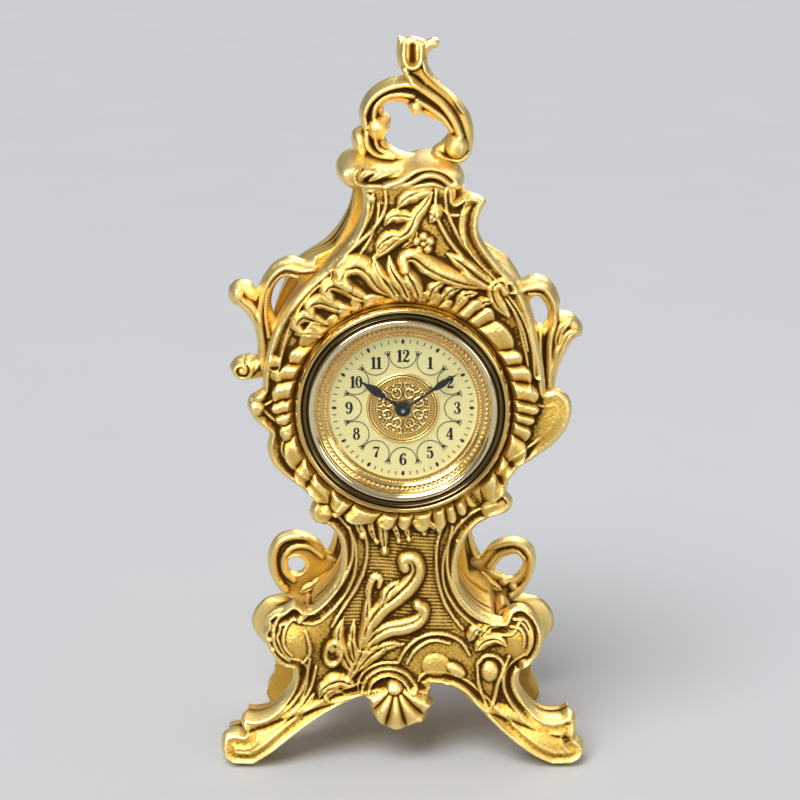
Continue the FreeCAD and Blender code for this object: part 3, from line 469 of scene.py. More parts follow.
def newGroup(name, inputs, outputs):
    group = bpy.data.node_groups.new(name, "ShaderNodeTree")
    for label, kind, value in inputs:
        socket = group.interface.new_socket(label, in_out="INPUT", socket_type=kind)
        if value is not None:
            socket.default_value = value
    for label, kind in outputs:
        group.interface.new_socket(label, in_out="OUTPUT", socket_type=kind)
    return group, group.nodes.new("NodeGroupInput"), group.nodes.new("NodeGroupOutput")


def node(tree, kind, **values):
    made = tree.nodes.new(kind)
    for key, value in values.items():
        if hasattr(made, key):
            setattr(made, key, value)
        else:
            made.inputs[key.replace("_", " ")].default_value = value
    return made


def math2(tree, operation, a, b=None, clamp=False):
    made = tree.nodes.new("ShaderNodeMath")
    made.operation = operation
    made.use_clamp = clamp
    for k, value in enumerate((a, b)):
        if value is None:
            continue
        if isinstance(value, (int, float)):
            made.inputs[k].default_value = value
        else:
            tree.links.new(value, made.inputs[k])
    return made.outputs[0]


def mixColour(tree, factor, a, b):
    made = tree.nodes.new("ShaderNodeMix")
    made.data_type = "RGBA"
    for socket, value in ((made.inputs[0], factor), (made.inputs[6], a), (made.inputs[7], b)):
        if hasattr(value, "links"):
            tree.links.new(value, socket)
        else:
            socket.default_value = value
    return made.outputs[2]


# noise laid on a piece in its own place
def surfaceNoise(tree, **values):
    coord = node(tree, "ShaderNodeTexCoord")
    noise = node(tree, "ShaderNodeTexNoise", **values)
    tree.links.new(coord.outputs["Object"], noise.inputs["Vector"])
    return noise


# roughness that runs from low to low + span with a noise
def unevenRoughness(tree, bsdf, low, noise, span):
    level = math2(tree, "ADD", low, math2(tree, "MULTIPLY", noise.outputs["Fac"], span))
    tree.links.new(level, bsdf.inputs["Roughness"])


# bump of a strength and a distance in metres
def addBump(tree, bsdf, height, strength, distance=0.0001):
    bump = node(tree, "ShaderNodeBump", Strength=strength)
    bump.inputs["Distance"].default_value = distance
    tree.links.new(height, bump.inputs["Height"])
    tree.links.new(bump.outputs["Normal"], bsdf.inputs["Normal"])


# sandy cast skin: a height, and a slow mottle for colour and roughness
def castGrainGroup():
    t, gin, gout = newGroup("castGrain", [
        ("GrainSize", "NodeSocketFloat", 1300.0), ("PitSize", "NodeSocketFloat", 520.0),
        ("PitDepth", "NodeSocketFloat", 0.5)],
        [("Height", "NodeSocketFloat"), ("Mottle", "NodeSocketFloat")])
    coord = node(t, "ShaderNodeTexCoord")
    grain = node(t, "ShaderNodeTexNoise", Detail=3.0, Roughness=0.6)
    pits = node(t, "ShaderNodeTexVoronoi")
    slow = node(t, "ShaderNodeTexNoise", Scale=60.0, Detail=4.0, Roughness=0.62)
    for texture in (grain, pits, slow):
        t.links.new(coord.outputs["Object"], texture.inputs["Vector"])
    t.links.new(gin.outputs["GrainSize"], grain.inputs["Scale"])
    t.links.new(gin.outputs["PitSize"], pits.inputs["Scale"])
    pit = math2(t, "SUBTRACT", 1.0, math2(t, "MULTIPLY", pits.outputs["Distance"], 2.2), True)
    pit = math2(t, "MULTIPLY", math2(t, "POWER", pit, 4.0), gin.outputs["PitDepth"])
    t.links.new(math2(t, "SUBTRACT", grain.outputs["Fac"], pit), gout.inputs["Height"])
    t.links.new(slow.outputs["Fac"], gout.inputs["Mottle"])
    return t


# gilt and redGilt are the gilding's own tones, bright a painted highlight for the ridges, brown the patina
# and painted shade of the hollows
gilding = {"gilt": (0.76, 0.48, 0.09, 1), "bright": (1.0, 0.80, 0.34, 1), "brown": (0.10, 0.045, 0.008, 1),
           "redGilt": (0.62, 0.34, 0.05, 1), "reach": 1.7, "grain": 1.0, "roughness": 0.38}


# colour of gilding from a painted highlight on the ridges to brown patina and painted shade in the hollows,
# from the recess and crest of the casting
def patinaGroup():
    t, gin, gout = newGroup("patinaShadeHighlight", [
        ("Gilt", "NodeSocketColor", gilding["gilt"]), ("Bright", "NodeSocketColor", gilding["bright"]),
        ("Brown", "NodeSocketColor", gilding["brown"]), ("Mottle", "NodeSocketFloat", 0.5),
        ("Reach", "NodeSocketFloat", 1.3)],
        [("Colour", "NodeSocketColor"), ("PatinaAndShade", "NodeSocketFloat"), ("WearAndHighlight", "NodeSocketFloat")])
    recess = node(t, "ShaderNodeAttribute", attribute_name="recess")
    crest = node(t, "ShaderNodeAttribute", attribute_name="crest")
    mottle = gin.outputs["Mottle"]
    uneven = math2(t, "ADD", 0.55, math2(t, "MULTIPLY", mottle, 0.9))
    # brown patina and painted shade, stronger in deeper hollows
    patinaAndShadeMask = math2(t, "MULTIPLY", recess.outputs["Fac"], uneven)
    patinaAndShadeMask = math2(t, "MULTIPLY", patinaAndShadeMask, gin.outputs["Reach"], True)
    patinaAndShadeMask = math2(t, "POWER", patinaAndShadeMask, 1.25, True)
    # painted highlight: ridges paler toward the bright colour, and a little smoother
    wearAndHighlightMask = math2(t, "MULTIPLY", crest.outputs["Fac"], 0.85, True)
    redder = math2(t, "MULTIPLY", math2(t, "SUBTRACT", mottle, 0.42, True), 1.4, True)
    tone = mixColour(t, redder, gin.outputs["Gilt"], gilding["redGilt"])
    lit = mixColour(t, wearAndHighlightMask, tone, gin.outputs["Bright"])
    t.links.new(mixColour(t, patinaAndShadeMask, lit, gin.outputs["Brown"]), gout.inputs["Colour"])
    t.links.new(patinaAndShadeMask, gout.inputs["PatinaAndShade"])
    t.links.new(wearAndHighlightMask, gout.inputs["WearAndHighlight"])
    return t


castGrain = castGrainGroup()
patinaShadeHighlight = patinaGroup()


def newMaterial(name):
    material = bpy.data.materials.new(name)
    material.use_nodes = True
    return material, material.node_tree, material.node_tree.nodes["Principled BSDF"]


def useGroup(tree, group, **values):
    made = tree.nodes.new("ShaderNodeGroup")
    made.node_tree = group
    for key, value in values.items():
        made.inputs[key].default_value = value
    return made


# gilt casting: smoother and paler on the ridges with a painted highlight, rougher and brown in the hollows
# with patina and painted shade
def giltMaterial(name, reach=gilding["reach"], grain=gilding["grain"], roughness=gilding["roughness"]):
    material, t, bsdf = newMaterial(name)
    skin = useGroup(t, castGrain)
    tone = useGroup(t, patinaShadeHighlight, Reach=reach)
    t.links.new(skin.outputs["Mottle"], tone.inputs["Mottle"])
    t.links.new(tone.outputs["Colour"], bsdf.inputs["Base Color"])
    bsdf.inputs["Metallic"].default_value = 1.0
    rough = math2(t, "ADD", roughness, math2(t, "MULTIPLY", tone.outputs["PatinaAndShade"], 0.34))
    rough = math2(t, "SUBTRACT", rough, math2(t, "MULTIPLY", tone.outputs["WearAndHighlight"], 0.12))
    rough = math2(t, "ADD", rough, math2(t, "MULTIPLY", skin.outputs["Mottle"], 0.12), True)
    t.links.new(rough, bsdf.inputs["Roughness"])
    addBump(t, bsdf, skin.outputs["Height"], grain, 0.0003)
    return material


giltCasting = giltMaterial("giltCasting")


# casting with its patina, painted shade and painted highlight, in the clock's body with the gilt casting
# material
def gildPiece(obj, replaced=()):
    markCavity(obj)
    finishPiece(obj, "root", giltCasting, replaced)


# front casting: outline, depth of its ground at each height, and the ribbed panel of the waist
frontOutline = [
    [(20.5, neckTop)], [(20.5, 233)],
    [(24, 235), (28.5, 235), (32.3, 232.5), (31, 229.5), (29.6, 225), (29.8, 220), (32.5, 214.8),
     (37, 209), (44, 201.5)],
    [(47.5, 195), (50.5, 188), (53, 179), (55, 170), (56.3, 161), (56.8, 156)],
    [(61.5, 156.8), (66, 153.5), (67.4, 148), (65.8, 141.5), (61, 134.5), (54, 128.5), (47, 124)],
    [(43, 119), (42, 113.5)], [(44.3, 110), (43, 105.5), (37, 103.2), (31, 100)],
    [(26.5, 95), (23.6, 89), (22.2, 82), (22.8, 75), (25.8, 69), (30.5, 64), (36, 60.8), (41, 60)],
    [(43.5, 64.5), (48.5, 66), (53.5, 63), (57, 57.5), (57.6, 51), (55.5, 44), (50, 39)],
    [(47.8, 36), (48.2, 31), (51, 26), (55, 21.8), (60, 19.4), (65, 19.3)],
    [(68.5, 21), (71.2, 19), (71.4, 15), (71, 11.5)], [(73.5, 9.8), (74.8, 7.2), (74.0, 2.8), (70, 0)],
    [(61, 0)], [(55, 2.8), (48, 7.5), (41, 12.8), (35, 18.2), (29, 24), (23, 29), (17, 31.6), (12, 32)],
    [(10.8, 27.5)], [(12.8, 25), (10.4, 22.5)], [(9.4, 18.2), (7.4, 17)], [(5.2, 17), (2.6, 15.2)],
    [(0, 14.6), (-3.2, 14.3)], [(-5.5, 14.9), (-8, 15.4)], [(-10, 17), (-11.2, 18.6)],
    [(-12.6, 20.5), (-13.6, 23), (-14, 26.5)], [(-16, 27.6)],
    [(-24, 24.4), (-32, 20.2), (-40, 15), (-48, 9.2), (-55, 4), (-61, 0)], [(-70, 0)],
    [(-74, 3), (-74.9, 7.5), (-74, 12), (-70, 13.7), (-65.6, 13.8)],
    [(-66.8, 17), (-65.5, 20), (-61, 19.8), (-56, 21), (-51, 24.5), (-47.4, 29), (-45.4, 34),
     (-45.2, 38.4)],
    [(-50, 40), (-54.2, 45), (-57, 51)], [(-57.8, 54), (-56.2, 57.5)],
    [(-56.4, 60.5), (-53, 63.5), (-49, 65)], [(-44.5, 67.6), (-40.5, 65.5), (-37, 64.8)],
    [(-32, 69.3), (-28, 74.5), (-25.6, 80.5), (-25, 87), (-26, 93.5), (-30, 99)],
    [(-35.5, 100.6), (-38, 105), (-36.2, 110)],
    [(-41, 114.8), (-47, 119.5), (-52.3, 125.5), (-54.4, 132), (-53.4, 138.5)],
    [(-58.5, 143), (-61.4, 147.2)], [(-62.2, 150), (-61.2, 153.6), (-58.5, 155.6), (-56, 157)],
    [(-55.4, 164), (-53.6, 173), (-50.2, 182.5), (-45, 191.5), (-38, 199.6), (-30, 206.6)],
    [(-23.6, 213), (-18.6, 220), (-15.9, 227), (-15.4, 233), (-16.2, neckTop)]]

frontDepth = np.array([
    (0, 36), (8, 35.4), (20, 32.6), (36, 29.8), (56, 27.3), (76, 25), (100, 24), (194, 24), (208, 23.4),
    (224, 22), (neckTop, 20.5)])
ribs = {"pitch": 1.45, "rise": 0.75, "low": 54.0, "high": 97.5}
ribPanel = np.array([
    (-14.6, 98), (-14.2, 88), (-15.6, 80), (-18.6, 72), (-22.5, 66), (-26, 60), (-18, 48), (-4, 46),
    (4, 52), (12, 55), (21, 55), (20.5, 58), (16.5, 66), (14.4, 74), (13.2, 84), (13.6, 92), (15.4, 98)])


# swellings of the cast ground: centre, half width, half height, rise
frontSwells = [
    (-45, 51, 14, 15, 5.0), (49, 52, 13, 14, 4.4), (-32, 60, 12, 14, 1.6), (-2, 60, 16, 24, 0.8),
    (-3, 26, 14, 12, 2.6), (8, 222, 12, 14, 0.8), (0, 202, 34, 10, 1.8), (36, 38, 9, 14, 1.4),
    (44, 192, 9, 12, 1.2), (-42, 192, 9, 12, 1.0), (62, 142, 9, 14, 1.6), (-52, 128, 8, 14, 1.2),
    (56, 12, 14, 10, 1.6), (-58, 12, 14, 10, 1.6), (-28, 46, 9, 11, 1.0)]
frontDrips = [
    ([(-18.4, 103), (-17.6, 99), (-16.4, 95)], 1.9, 2.2),
    ([(-13.4, 102), (-12.6, 97), (-10.6, 92.4)], 1.7, 2.4),
    ([(-8.6, 102), (-8, 96), (-7.4, 88.4)], 2.5, 3.0),
    ([(-4, 101.4), (-2.6, 97), (-1.6, 92.6)], 1.5, 2.3),
    ([(0, 101.6), (1.6, 97.4), (2.4, 93.4)], 1.6, 2.4), ([(4.6, 101.6), (6.8, 99), (8.6, 96)], 1.5, 2.3),
    ([(9.6, 102), (12, 100), (14.6, 97.4)], 1.6, 2.2)]


# depth of a casting's ground from the seam, at each point's height
def depthAt(points, table):
    curve = catmull(table, 10)
    return np.interp(points[:, 1], curve[:, 0], curve[:, 1])


def frontBase(points):
    return depthAt(points, frontDepth)


castWall = 3.0  # thickness of a casting where it is hollow
footArch = {"height": 33.0, "rise": 22.0}


# inner face of a casting: flat at the seam, arched away over the feet, hollow behind the drum and waist
def innerFace(points, edge, depth):
    z = points[:, 1]
    u = np.clip(z / footArch["height"], 0, 1)
    arch = np.where(z < footArch["height"], footArch["rise"] * np.sqrt(1 - u * u), 0.0)
    hollow = ease((edge - castWall) / 2.5) * ease((z - 36) / 6)
    return arch * (1 - hollow) + (depth - castWall) * hollow


def frontInner(points, edge):
    return innerFace(points, edge, frontBase(points))


# a share of how far each x stands out past a half width, on its own side
def past(x, halfWidth, share):
    return np.sign(x) * np.clip(np.abs(x) - halfWidth, 0, None) * share


# where the walls run to behind the overhanging ornament
def coreOutline(loop, normal):
    p = loop.copy()
    x, z = loop[:, 0], loop[:, 1]
    # side lobes of the drum
    r = np.hypot(x, z - 152)
    lobe = ease((z - 114) / 8) * ease((163 - z) / 6)
    pull = (np.clip(r - 54, 0, None) * 0.8 * lobe)[:, None]
    p -= (loop - (0, 152)) / np.maximum(r, 1)[:, None] * pull
    # knobs at the waist's top
    knob = ease((z - 97) / 4) * ease((119 - z) / 4)
    p[:, 0] -= past(x, 27, 0.65) * knob
    # knees
    knee = ease((z - 36) / 5) * ease((72 - z) / 5)
    p[:, 0] -= past(x, 37, 0.6) * knee
    p[:, 1] -= np.clip(z - 54, 0, None) * 0.5 * knee * ease((np.abs(x) - 36) / 5)
    # feet and apron
    p -= normal * (2.2 * ease((36 - z) / 5) * ease((z - 0.5) / 4))[:, None]
    # flame beside the neck
    root = np.interp(z, [197, 205, 215, 225, 236, 240], [44, 34, 24, 19, 19, 19.5])
    flame = ease((z - 198) / 8) * ease((neckTop - z) / 5)
    p[:, 0] -= np.clip(x - root, 0, None) * 0.7 * flame
    return p


# finer rows of points where the panel is ribbed
def ribRows(grid):
    keep = ~insideOutline(grid, ribPanel)
    rows = []
    for j, z in enumerate(np.arange(ribs["low"] - 8, ribs["high"], ribs["pitch"] / 4)):
        xs = np.arange(-27, 22, 0.9) + (j % 2) * 0.45
        rows.append(np.stack([xs, np.full(len(xs), z)], 1))
    more = np.vstack(rows)
    return keep, more[insideOutline(more, ribPanel)]


frontOrnament = {
    "rounding": 2.4, "borderHalf": 1.0, "borderRise": 1.3, "innerRise": 1.0, "clearBezel": 43.2, "sand": 0.09,
    "fuller": {"leaf": 1.42, "curl": 1.38, "ridge": 1.3, "band": 1.1}}
shell = {"x": -3, "z": 33, "below": 34, "spread": 80, "flutes": 6.2, "rise": 3.4}
neckRosette = {"x": 8, "z": 216.4, "petals": 5, "radius": 2.7}
# sectors of the frill: from and to in degrees, fold pitch, lean, outer radius, wave, rise, side
frillSectors = [(-52, 66, 8.8, 0.045, 52.4, 2.0, 3.4, 1), (-62, 50, 9.2, 0.05, 50.8, 1.8, 2.9, -1),
                (64, 132, 7.2, 0.06, 48.2, 1.8, 1.7, 1), (-127, -54, 8.6, 0.04, 50.6, 2.6, 2.8, 1)]

# each stroke: kind, points, half width, rise
frontStrokes = [
    ("ridge", [(-7.4, 239), (-6.6, 233), (-7.6, 228), (-10.8, 223), (-15.4, 218), (-21.4, 213),
               (-28.4, 209), (-35, 204.6)], 0.75, 1.7),
    ("ridge", [(-12.2, 239), (-11.4, 233), (-13, 226), (-17, 220.5), (-22.5, 215), (-29, 210)], 0.6, 0.9),
    ("ridge", [(13.2, 239), (12.6, 233), (13.2, 227), (15.8, 221), (19, 216), (23, 211.5), (28, 207),
               (32, 203.5)], 0.75, 1.8),
    ("ridge", [(17.6, 238), (16.4, 235), (17.4, 228), (20, 222), (24, 215), (30, 209), (34, 205)], 0.65, 1.3),
    ("band", [(29.0, 232.6), (26.4, 228.6), (25.4, 223), (27, 217.5), (31.4, 211.6), (37, 206),
              (42.6, 200)], 3.0, 1.6),
    ("leaf", [(11, 238.4), (8.4, 236.8), (4, 235.4), (0.2, 233), (-2.4, 229.6)], 2.7, 2.8),
    ("leaf", [(11.4, 236), (8.2, 231), (5, 227), (2.4, 221.5), (-2, 218), (-8, 213), (-14, 209)], 2.2, 2.6),
    ("leaf", [(4, 226.4), (0, 227), (-4.6, 226.6), (-7.4, 223)], 2.3, 2.4),
    ("leaf", [(0, 219), (-4.4, 219), (-8.8, 216), (-10.4, 212.4)], 2.2, 2.4),
    ("leaf", [(12.6, 232), (12.6, 228), (10.4, 224.4)], 2.2, 2.5),
    ("leaf", [(5, 221.6), (3.6, 217), (-0.6, 214.4)], 1.7, 2.0),
    ("curl", [(-4, 196), (-9, 200), (-12.6, 205), (-17, 208.2), (-22, 207.4), (-24.4, 203.4),
              (-22, 199.8)], 3.2, 4.2),
    ("leaf", [(-2, 194), (-5.4, 200), (-9.6, 206), (-11.6, 211.4)], 2.4, 3.6),
    ("leaf", [(2.4, 194), (-0.6, 200.6), (-4.4, 206.6), (-5.4, 211.8)], 2.5, 3.9),
    ("leaf", [(6.6, 194), (4.4, 200.4), (1.4, 206), (0.8, 211)], 2.5, 3.7),
    ("curl", [(33.6, 199.4), (26, 201), (17.6, 204), (10.4, 207.6), (4.6, 211.6), (0.4, 210.6),
              (0.6, 207)], 2.9, 3.9),
    ("leaf", [(36, 198.4), (29, 203.6), (22.6, 208.8), (17, 212.4)], 3.2, 3.4),
    ("leaf", [(10, 194.4), (12, 199), (16.6, 202)], 2.1, 2.8),
    ("leaf", [(15.4, 194), (18.6, 197.8), (23.6, 199.6)], 2.0, 2.6),
    ("leaf", [(21, 192.8), (24.4, 196), (29.4, 196.8)], 2.0, 2.5),
    ("leaf", [(27.4, 190.4), (31.4, 193), (35.6, 193.6)], 2.1, 2.6),
    ("curl", [(41.4, 187.6), (37, 193.4), (35.8, 198.4), (38.4, 200.6), (40, 197.6)], 2.4, 3.2),
    ("curl", [(-12, 193.6), (-17.6, 196), (-22.4, 199), (-27.6, 200.6), (-30.6, 198),
              (-28.6, 195)], 2.6, 3.4),
    ("curl", [(-20, 190.4), (-26, 191.4), (-32, 193.6), (-36.4, 192.4), (-36.2, 188.8)], 2.5, 3.2),
    ("curl", [(-30, 184.4), (-35, 186.4), (-39.4, 187.6), (-42.4, 184.6), (-40.6, 181.6)], 2.2, 3.0),
    ("leaf", [(-31.4, 179.4), (-37, 180.6), (-43, 180)], 2.1, 2.5),
    ("band", [(-30, 204.2), (-37, 198.6), (-43, 190.8), (-47.4, 182), (-50, 173), (-51, 167)], 2.1, 1.2),
    ("ridge", [(-33, 199.6), (-39.6, 192.4), (-44, 184.6), (-46.8, 176.6), (-48, 170)], 0.65, 1.5),
    ("band", [(41.4, 199), (46.8, 191.2), (50.8, 182.6), (53.2, 173), (54, 163.5)], 1.9, 1.3),
    ("ridge", [(38.8, 196.4), (43.8, 189.4), (47.4, 181.4), (49.4, 173)], 0.65, 1.5),
    ("ridge", [(-24.6, 93), (-23.8, 86), (-25.2, 79.4), (-29, 73), (-34.6, 67.4), (-40, 63.6)], 0.55, 1.0),
    ("ridge", [(-21.6, 99), (-20.4, 92), (-20.8, 85), (-23, 78.6), (-27.2, 72), (-33, 66),
               (-39.6, 61.6)], 0.7, 1.7),
    ("ridge", [(-17, 101), (-15, 95), (-14.4, 88), (-15.8, 80.6), (-18.8, 73.8), (-23, 67), (-26.4, 62),
               (-29, 57.6)], 0.75, 2.0),
    ("ridge", [(22, 93), (21.2, 86), (21.6, 79.6), (24.6, 71.6), (29.4, 65.4), (36, 61)], 0.55, 1.0),
    ("ridge", [(20, 99), (18.6, 92), (18, 85), (18.6, 78), (21.2, 70.4), (25.6, 64), (31, 60),
               (38, 57.6)], 0.7, 1.7),
    ("ridge", [(15.6, 99), (13.8, 92), (13.4, 84), (14.2, 76), (16.6, 68), (20.2, 61.5),
               (24.4, 56)], 0.75, 2.0),
    ("leaf", [(-23, 34), (-18, 44), (-15.4, 54), (-14.6, 64), (-13.4, 74)], 2.4, 3.6),
    ("curl", [(-14.2, 66), (-13.8, 73), (-11.8, 77.6), (-9.4, 77.2), (-9.8, 74)], 1.3, 3.0),
    ("curl", [(-18.6, 46), (-13.4, 58), (-8.4, 65), (-2.6, 69.6), (3, 75), (5.8, 80.6), (4.4, 85.4),
              (0.6, 85.4), (0.8, 82)], 3.0, 4.3),
    ("leaf", [(-9, 64.4), (-6.2, 71.6), (-1.4, 76.6)], 2.3, 3.2),
    ("curl", [(-19, 42), (-12.6, 51.6), (-6, 56), (1, 57.4), (6.4, 59.8), (8.6, 64), (6, 66.4)], 2.7, 3.9),
    ("leaf", [(-19.4, 38.6), (-12, 46.4), (-5.4, 49.4), (0.4, 49.6)], 2.6, 3.2),
    ("leaf", [(-20.6, 38), (-24.4, 46), (-26.4, 53.6), (-24.4, 61)], 2.7, 3.1),
    ("leaf", [(-19.4, 42), (-20.8, 51), (-20, 60)], 1.9, 2.9),
    ("ridge", [(-2, 42), (1.4, 48), (6.4, 52.4), (12.4, 54.2), (18.8, 53.4), (24, 50.4),
               (27.4, 45)], 0.75, 1.9),
    ("ridge", [(1.6, 41.4), (4.6, 46.6), (9.4, 50.4), (14, 51.2), (19.2, 49.8)], 0.7, 1.5),
    ("band", [(-15.6, 29.6), (-14, 34.4), (-9.4, 37.8), (-4, 38.2), (0.8, 36), (4.2, 31.6)], 1.5, 2.2),
    ("ridge", [(-17.6, 27.4), (-18.4, 33), (-15.6, 38.4), (-9, 41.6), (-2, 41.8)], 0.65, 1.4),
    ("ridge", [(10, 30), (15, 31.4), (20, 33.4), (25, 31), (30.4, 26), (37, 20)], 0.8, 1.6),
    ("ridge", [(-46.6, 64.4), (-51.4, 60), (-53, 53.6), (-51, 47.6), (-46.4, 43.6)], 0.8, 2.2),
    ("ridge", [(-45.6, 60.6), (-48.4, 56), (-48.4, 50.4), (-45.2, 46.2)], 0.6, 1.4),
    ("curl", [(-49.4, 61.6), (-46, 65.4), (-42.2, 65.6), (-40.4, 62.6), (-42.2, 60.6)], 1.5, 3.0),
    ("ridge", [(-39.6, 56), (-38, 50), (-38.4, 45.6), (-41.4, 42)], 0.7, 1.6),
    ("curl", [(42.6, 62.4), (46, 65.2), (51.4, 64), (55.6, 59), (56, 52), (53, 45), (49.6, 42)], 1.4, 2.9),
    ("ridge", [(45.4, 60.4), (49.6, 60.6), (52.4, 56.6), (52.6, 51), (50.4, 46)], 0.7, 2.0),
    ("ridge", [(44, 57.4), (47.4, 57.6), (49.4, 54.4), (49.2, 50)], 0.6, 1.4),
    ("leaf", [(29.6, 47), (34, 51.4), (39, 52), (42.6, 49.4)], 2.3, 2.8),
    ("leaf", [(27, 51), (29.6, 55.6), (34, 58)], 1.9, 2.4),
    ("leaf", [(31, 52), (35.6, 56.8), (40.6, 57.6)], 1.7, 2.2),
    ("ridge", [(30.4, 41.4), (31, 34), (33, 27.4), (35.4, 22.6), (37.6, 27), (38.8, 33), (41.2, 40.4),
               (38.4, 44.6), (33.6, 45), (30.4, 41.4)],
     0.75, 1.9),
    ("ridge", [(-38, 44), (-39.6, 36), (-42.6, 28.6), (-48, 22.2), (-56, 17.4), (-65, 15.4)], 0.75, 1.8),
    ("ridge", [(-35.6, 40), (-38, 31), (-42.4, 24.2), (-49, 18), (-57.6, 13.2), (-68, 11.6)], 0.7, 1.7),
    ("ridge", [(-29, 28.4), (-36.4, 23), (-44.4, 16), (-52.6, 9.4), (-61, 5), (-70, 4.4)], 0.65, 1.4),
    ("ridge", [(43.4, 45), (41.2, 37), (42, 29.4), (46.8, 22.4), (53.6, 17.2), (61.4, 15),
               (68, 15.8)], 0.75, 1.9),
    ("ridge", [(46.4, 40), (44.6, 34), (46.4, 28), (51, 22.6), (57.6, 19)], 0.6, 1.3),
    ("ridge", [(38.4, 24), (43.4, 19), (51, 13.6), (59.6, 10.6), (70, 10.6)], 0.7, 1.8),
    ("ridge", [(36, 19.6), (43, 14), (51, 8.6), (59, 4.8), (68, 3.8)], 0.65, 1.4),
    ("leaf", [(-20, 32.4), (-26.4, 34.4), (-32.6, 31.4), (-34.4, 27)], 2.9, 3.0),
    ("curl", [(-24, 28.6), (-28, 30.2), (-31.6, 28), (-30.4, 25.6)], 1.1, 2.2),
    ("leaf", [(-36.4, 29), (-41, 22), (-47.6, 16), (-55, 11.4)], 1.5, 1.9),
    ("leaf", [(-55, 9.6), (-61, 8.4), (-67.4, 9.4)], 1.8, 2.0),
    ("leaf", [(42, 17.4), (48.4, 12.4), (55.6, 8.8)], 1.7, 2.0),
    ("leaf", [(57.4, 8.2), (63, 7.4), (69, 8.4)], 1.8, 2.1),
    ("leaf", [(-62.6, 16.8), (-58, 17.6), (-52.6, 20.8)], 1.4, 1.8),
    ("leaf", [(67.6, 18), (63, 16.8), (57, 18.6)], 1.4, 1.8),
]

# bosses: centre, half width, half height, rise, turn in degrees, share that is a raised rim
frontBosses = [
    (-12.6, 238, 2.2, 2.2, 2.0, 0, 0), (-12.3, 233.6, 1.8, 1.8, 1.7, 0, 0),
    (-32.8, 105.4, 4.8, 4.4, 3.6, 0, 0), (-35.6, 101.8, 2.6, 2.0, 2.2, 20, 0),
    (36.6, 107.4, 5.4, 4.4, 3.6, 30, 0), (40, 103.6, 3.0, 2.0, 2.2, 30, 0),
    (-51, 169, 3.0, 2.8, 2.8, 0, 0), (-50, 163, 2.8, 2.8, 2.6, 0, 0), (-48.6, 157.4, 2.5, 2.9, 2.4, 0, 0),
    (-47.8, 151, 2.4, 2.8, 2.3, 0, 0), (-47.4, 145, 2.5, 2.8, 2.3, 0, 0),
    (-46.4, 138.6, 2.5, 2.9, 2.2, 20, 0), (-43.6, 132.6, 2.6, 3.0, 2.2, 35, 0),
    (-28.4, 46.4, 4.6, 7.0, 2.6, -14, 0.3), (-29, 48.6, 1.9, 2.2, 2.2, 0, 0),
    (4.6, 30.6, 2.1, 2.1, 3.0, 0, 0), (13.6, 40.6, 6.0, 5.0, 1.5, 0, 0),
    (21.8, 38.8, 4.6, 2.6, 2.4, -34, 0), (50.2, 41.6, 3.0, 3.0, 3.4, 0, 0),
    (-58.4, 149.4, 3.6, 3.2, 3.0, 60, 0), (-57, 154.4, 2.8, 2.4, 2.6, 20, 0),
    (-53, 56, 1.1, 1.1, 1.6, 0, 0), (-54.2, 52, 1.0, 1.0, 1.5, 0, 0), (-53, 48, 1.0, 1.0, 1.5, 0, 0),
    (35.6, 38.6, 3.6, 4.4, 2.2, 0, 0), (68.6, 18.4, 2.6, 2.2, 2.0, 0, 0),
    (-69.4, 9.4, 3.0, 2.6, 1.6, 0, 0), (70.4, 8.6, 2.8, 2.4, 1.6, 0, 0)]


# overlapping folds: each rises slowly and drops at its edge
def folds(share, sharp=0.62):
    share = share % 1.0
    share = np.where(share < sharp, share / sharp, (1 - share) / (1 - sharp))
    return np.sin(np.pi / 2 * share) ** 0.9


# fluted frill round the drum, between the bezel and the border
def frill(r, low, high, pitch, lean, outer, wave, rise, side):
    x, z = r.p[:, 0], r.p[:, 1]
    away = np.hypot(x, z - dialZ)
    turn = np.degrees(np.arctan2(z - dialZ, x * side))
    warped = turn + 3.4 * np.sin(turn / 11.0) + 1.6 * np.sin(turn / 4.7 + 1)
    which = warped / pitch + lean * (away - 44)
    fold = folds(which)
    edge = outer + wave * (fold - 0.5) + 1.2 * np.sin(which * 1.3)
    span = np.clip((turn - low) / 5, 0, 1) * np.clip((high - turn) / 5, 0, 1)
    up = ease((away - 43.4) / 2.4)
    cut = np.clip((edge - away) / 0.55, 0, 1)
    lift = (0.3 + rise * (1 + 0.2 * np.sin(which * 0.9)) * up * (0.2 + 0.8 * fold)) * cut * span
    r.over(np.arange(len(x)), lift, (cut > 0) & (span > 0) & (away > 43.6))


# how far a ground drops toward its outline when its edge is rounded
def edgeDrop(edge, radius):
    return radius - np.sqrt(np.clip(radius ** 2 - np.clip(radius - edge, 0, None) ** 2, 0, None))


# border: a fine outer rim, a hollow and an inner rim, calmer over the lobes, the shell and the neck
def frontBorder(r, away):
    f = frontOrnament
    x, z = r.p[:, 0], r.p[:, 1]
    lobe = np.clip((away - 54.5) / 2, 0, 1) * (z > 116) * (z < 160)
    covered = (np.abs(x + 2) < 15) * (z < shell["below"])
    neck = np.where(np.abs(x - 2) < 16, ease((neckTop - 5 - z) / 4), 1)
    calm = (1 - 0.85 * lobe) * (1 - covered) * neck
    rims = f["borderRise"] * bell((r.edge - 1.9) / f["borderHalf"])
    rims = rims + f["innerRise"] * bell((r.edge - 6.0) / 0.8) + 0.35 * bell((r.edge - 3.9) / 2.4)
    r.h = np.maximum(r.h, rims * calm)
    r.ground -= 0.9 * bell((r.edge - 4.0) / 2.2) * calm


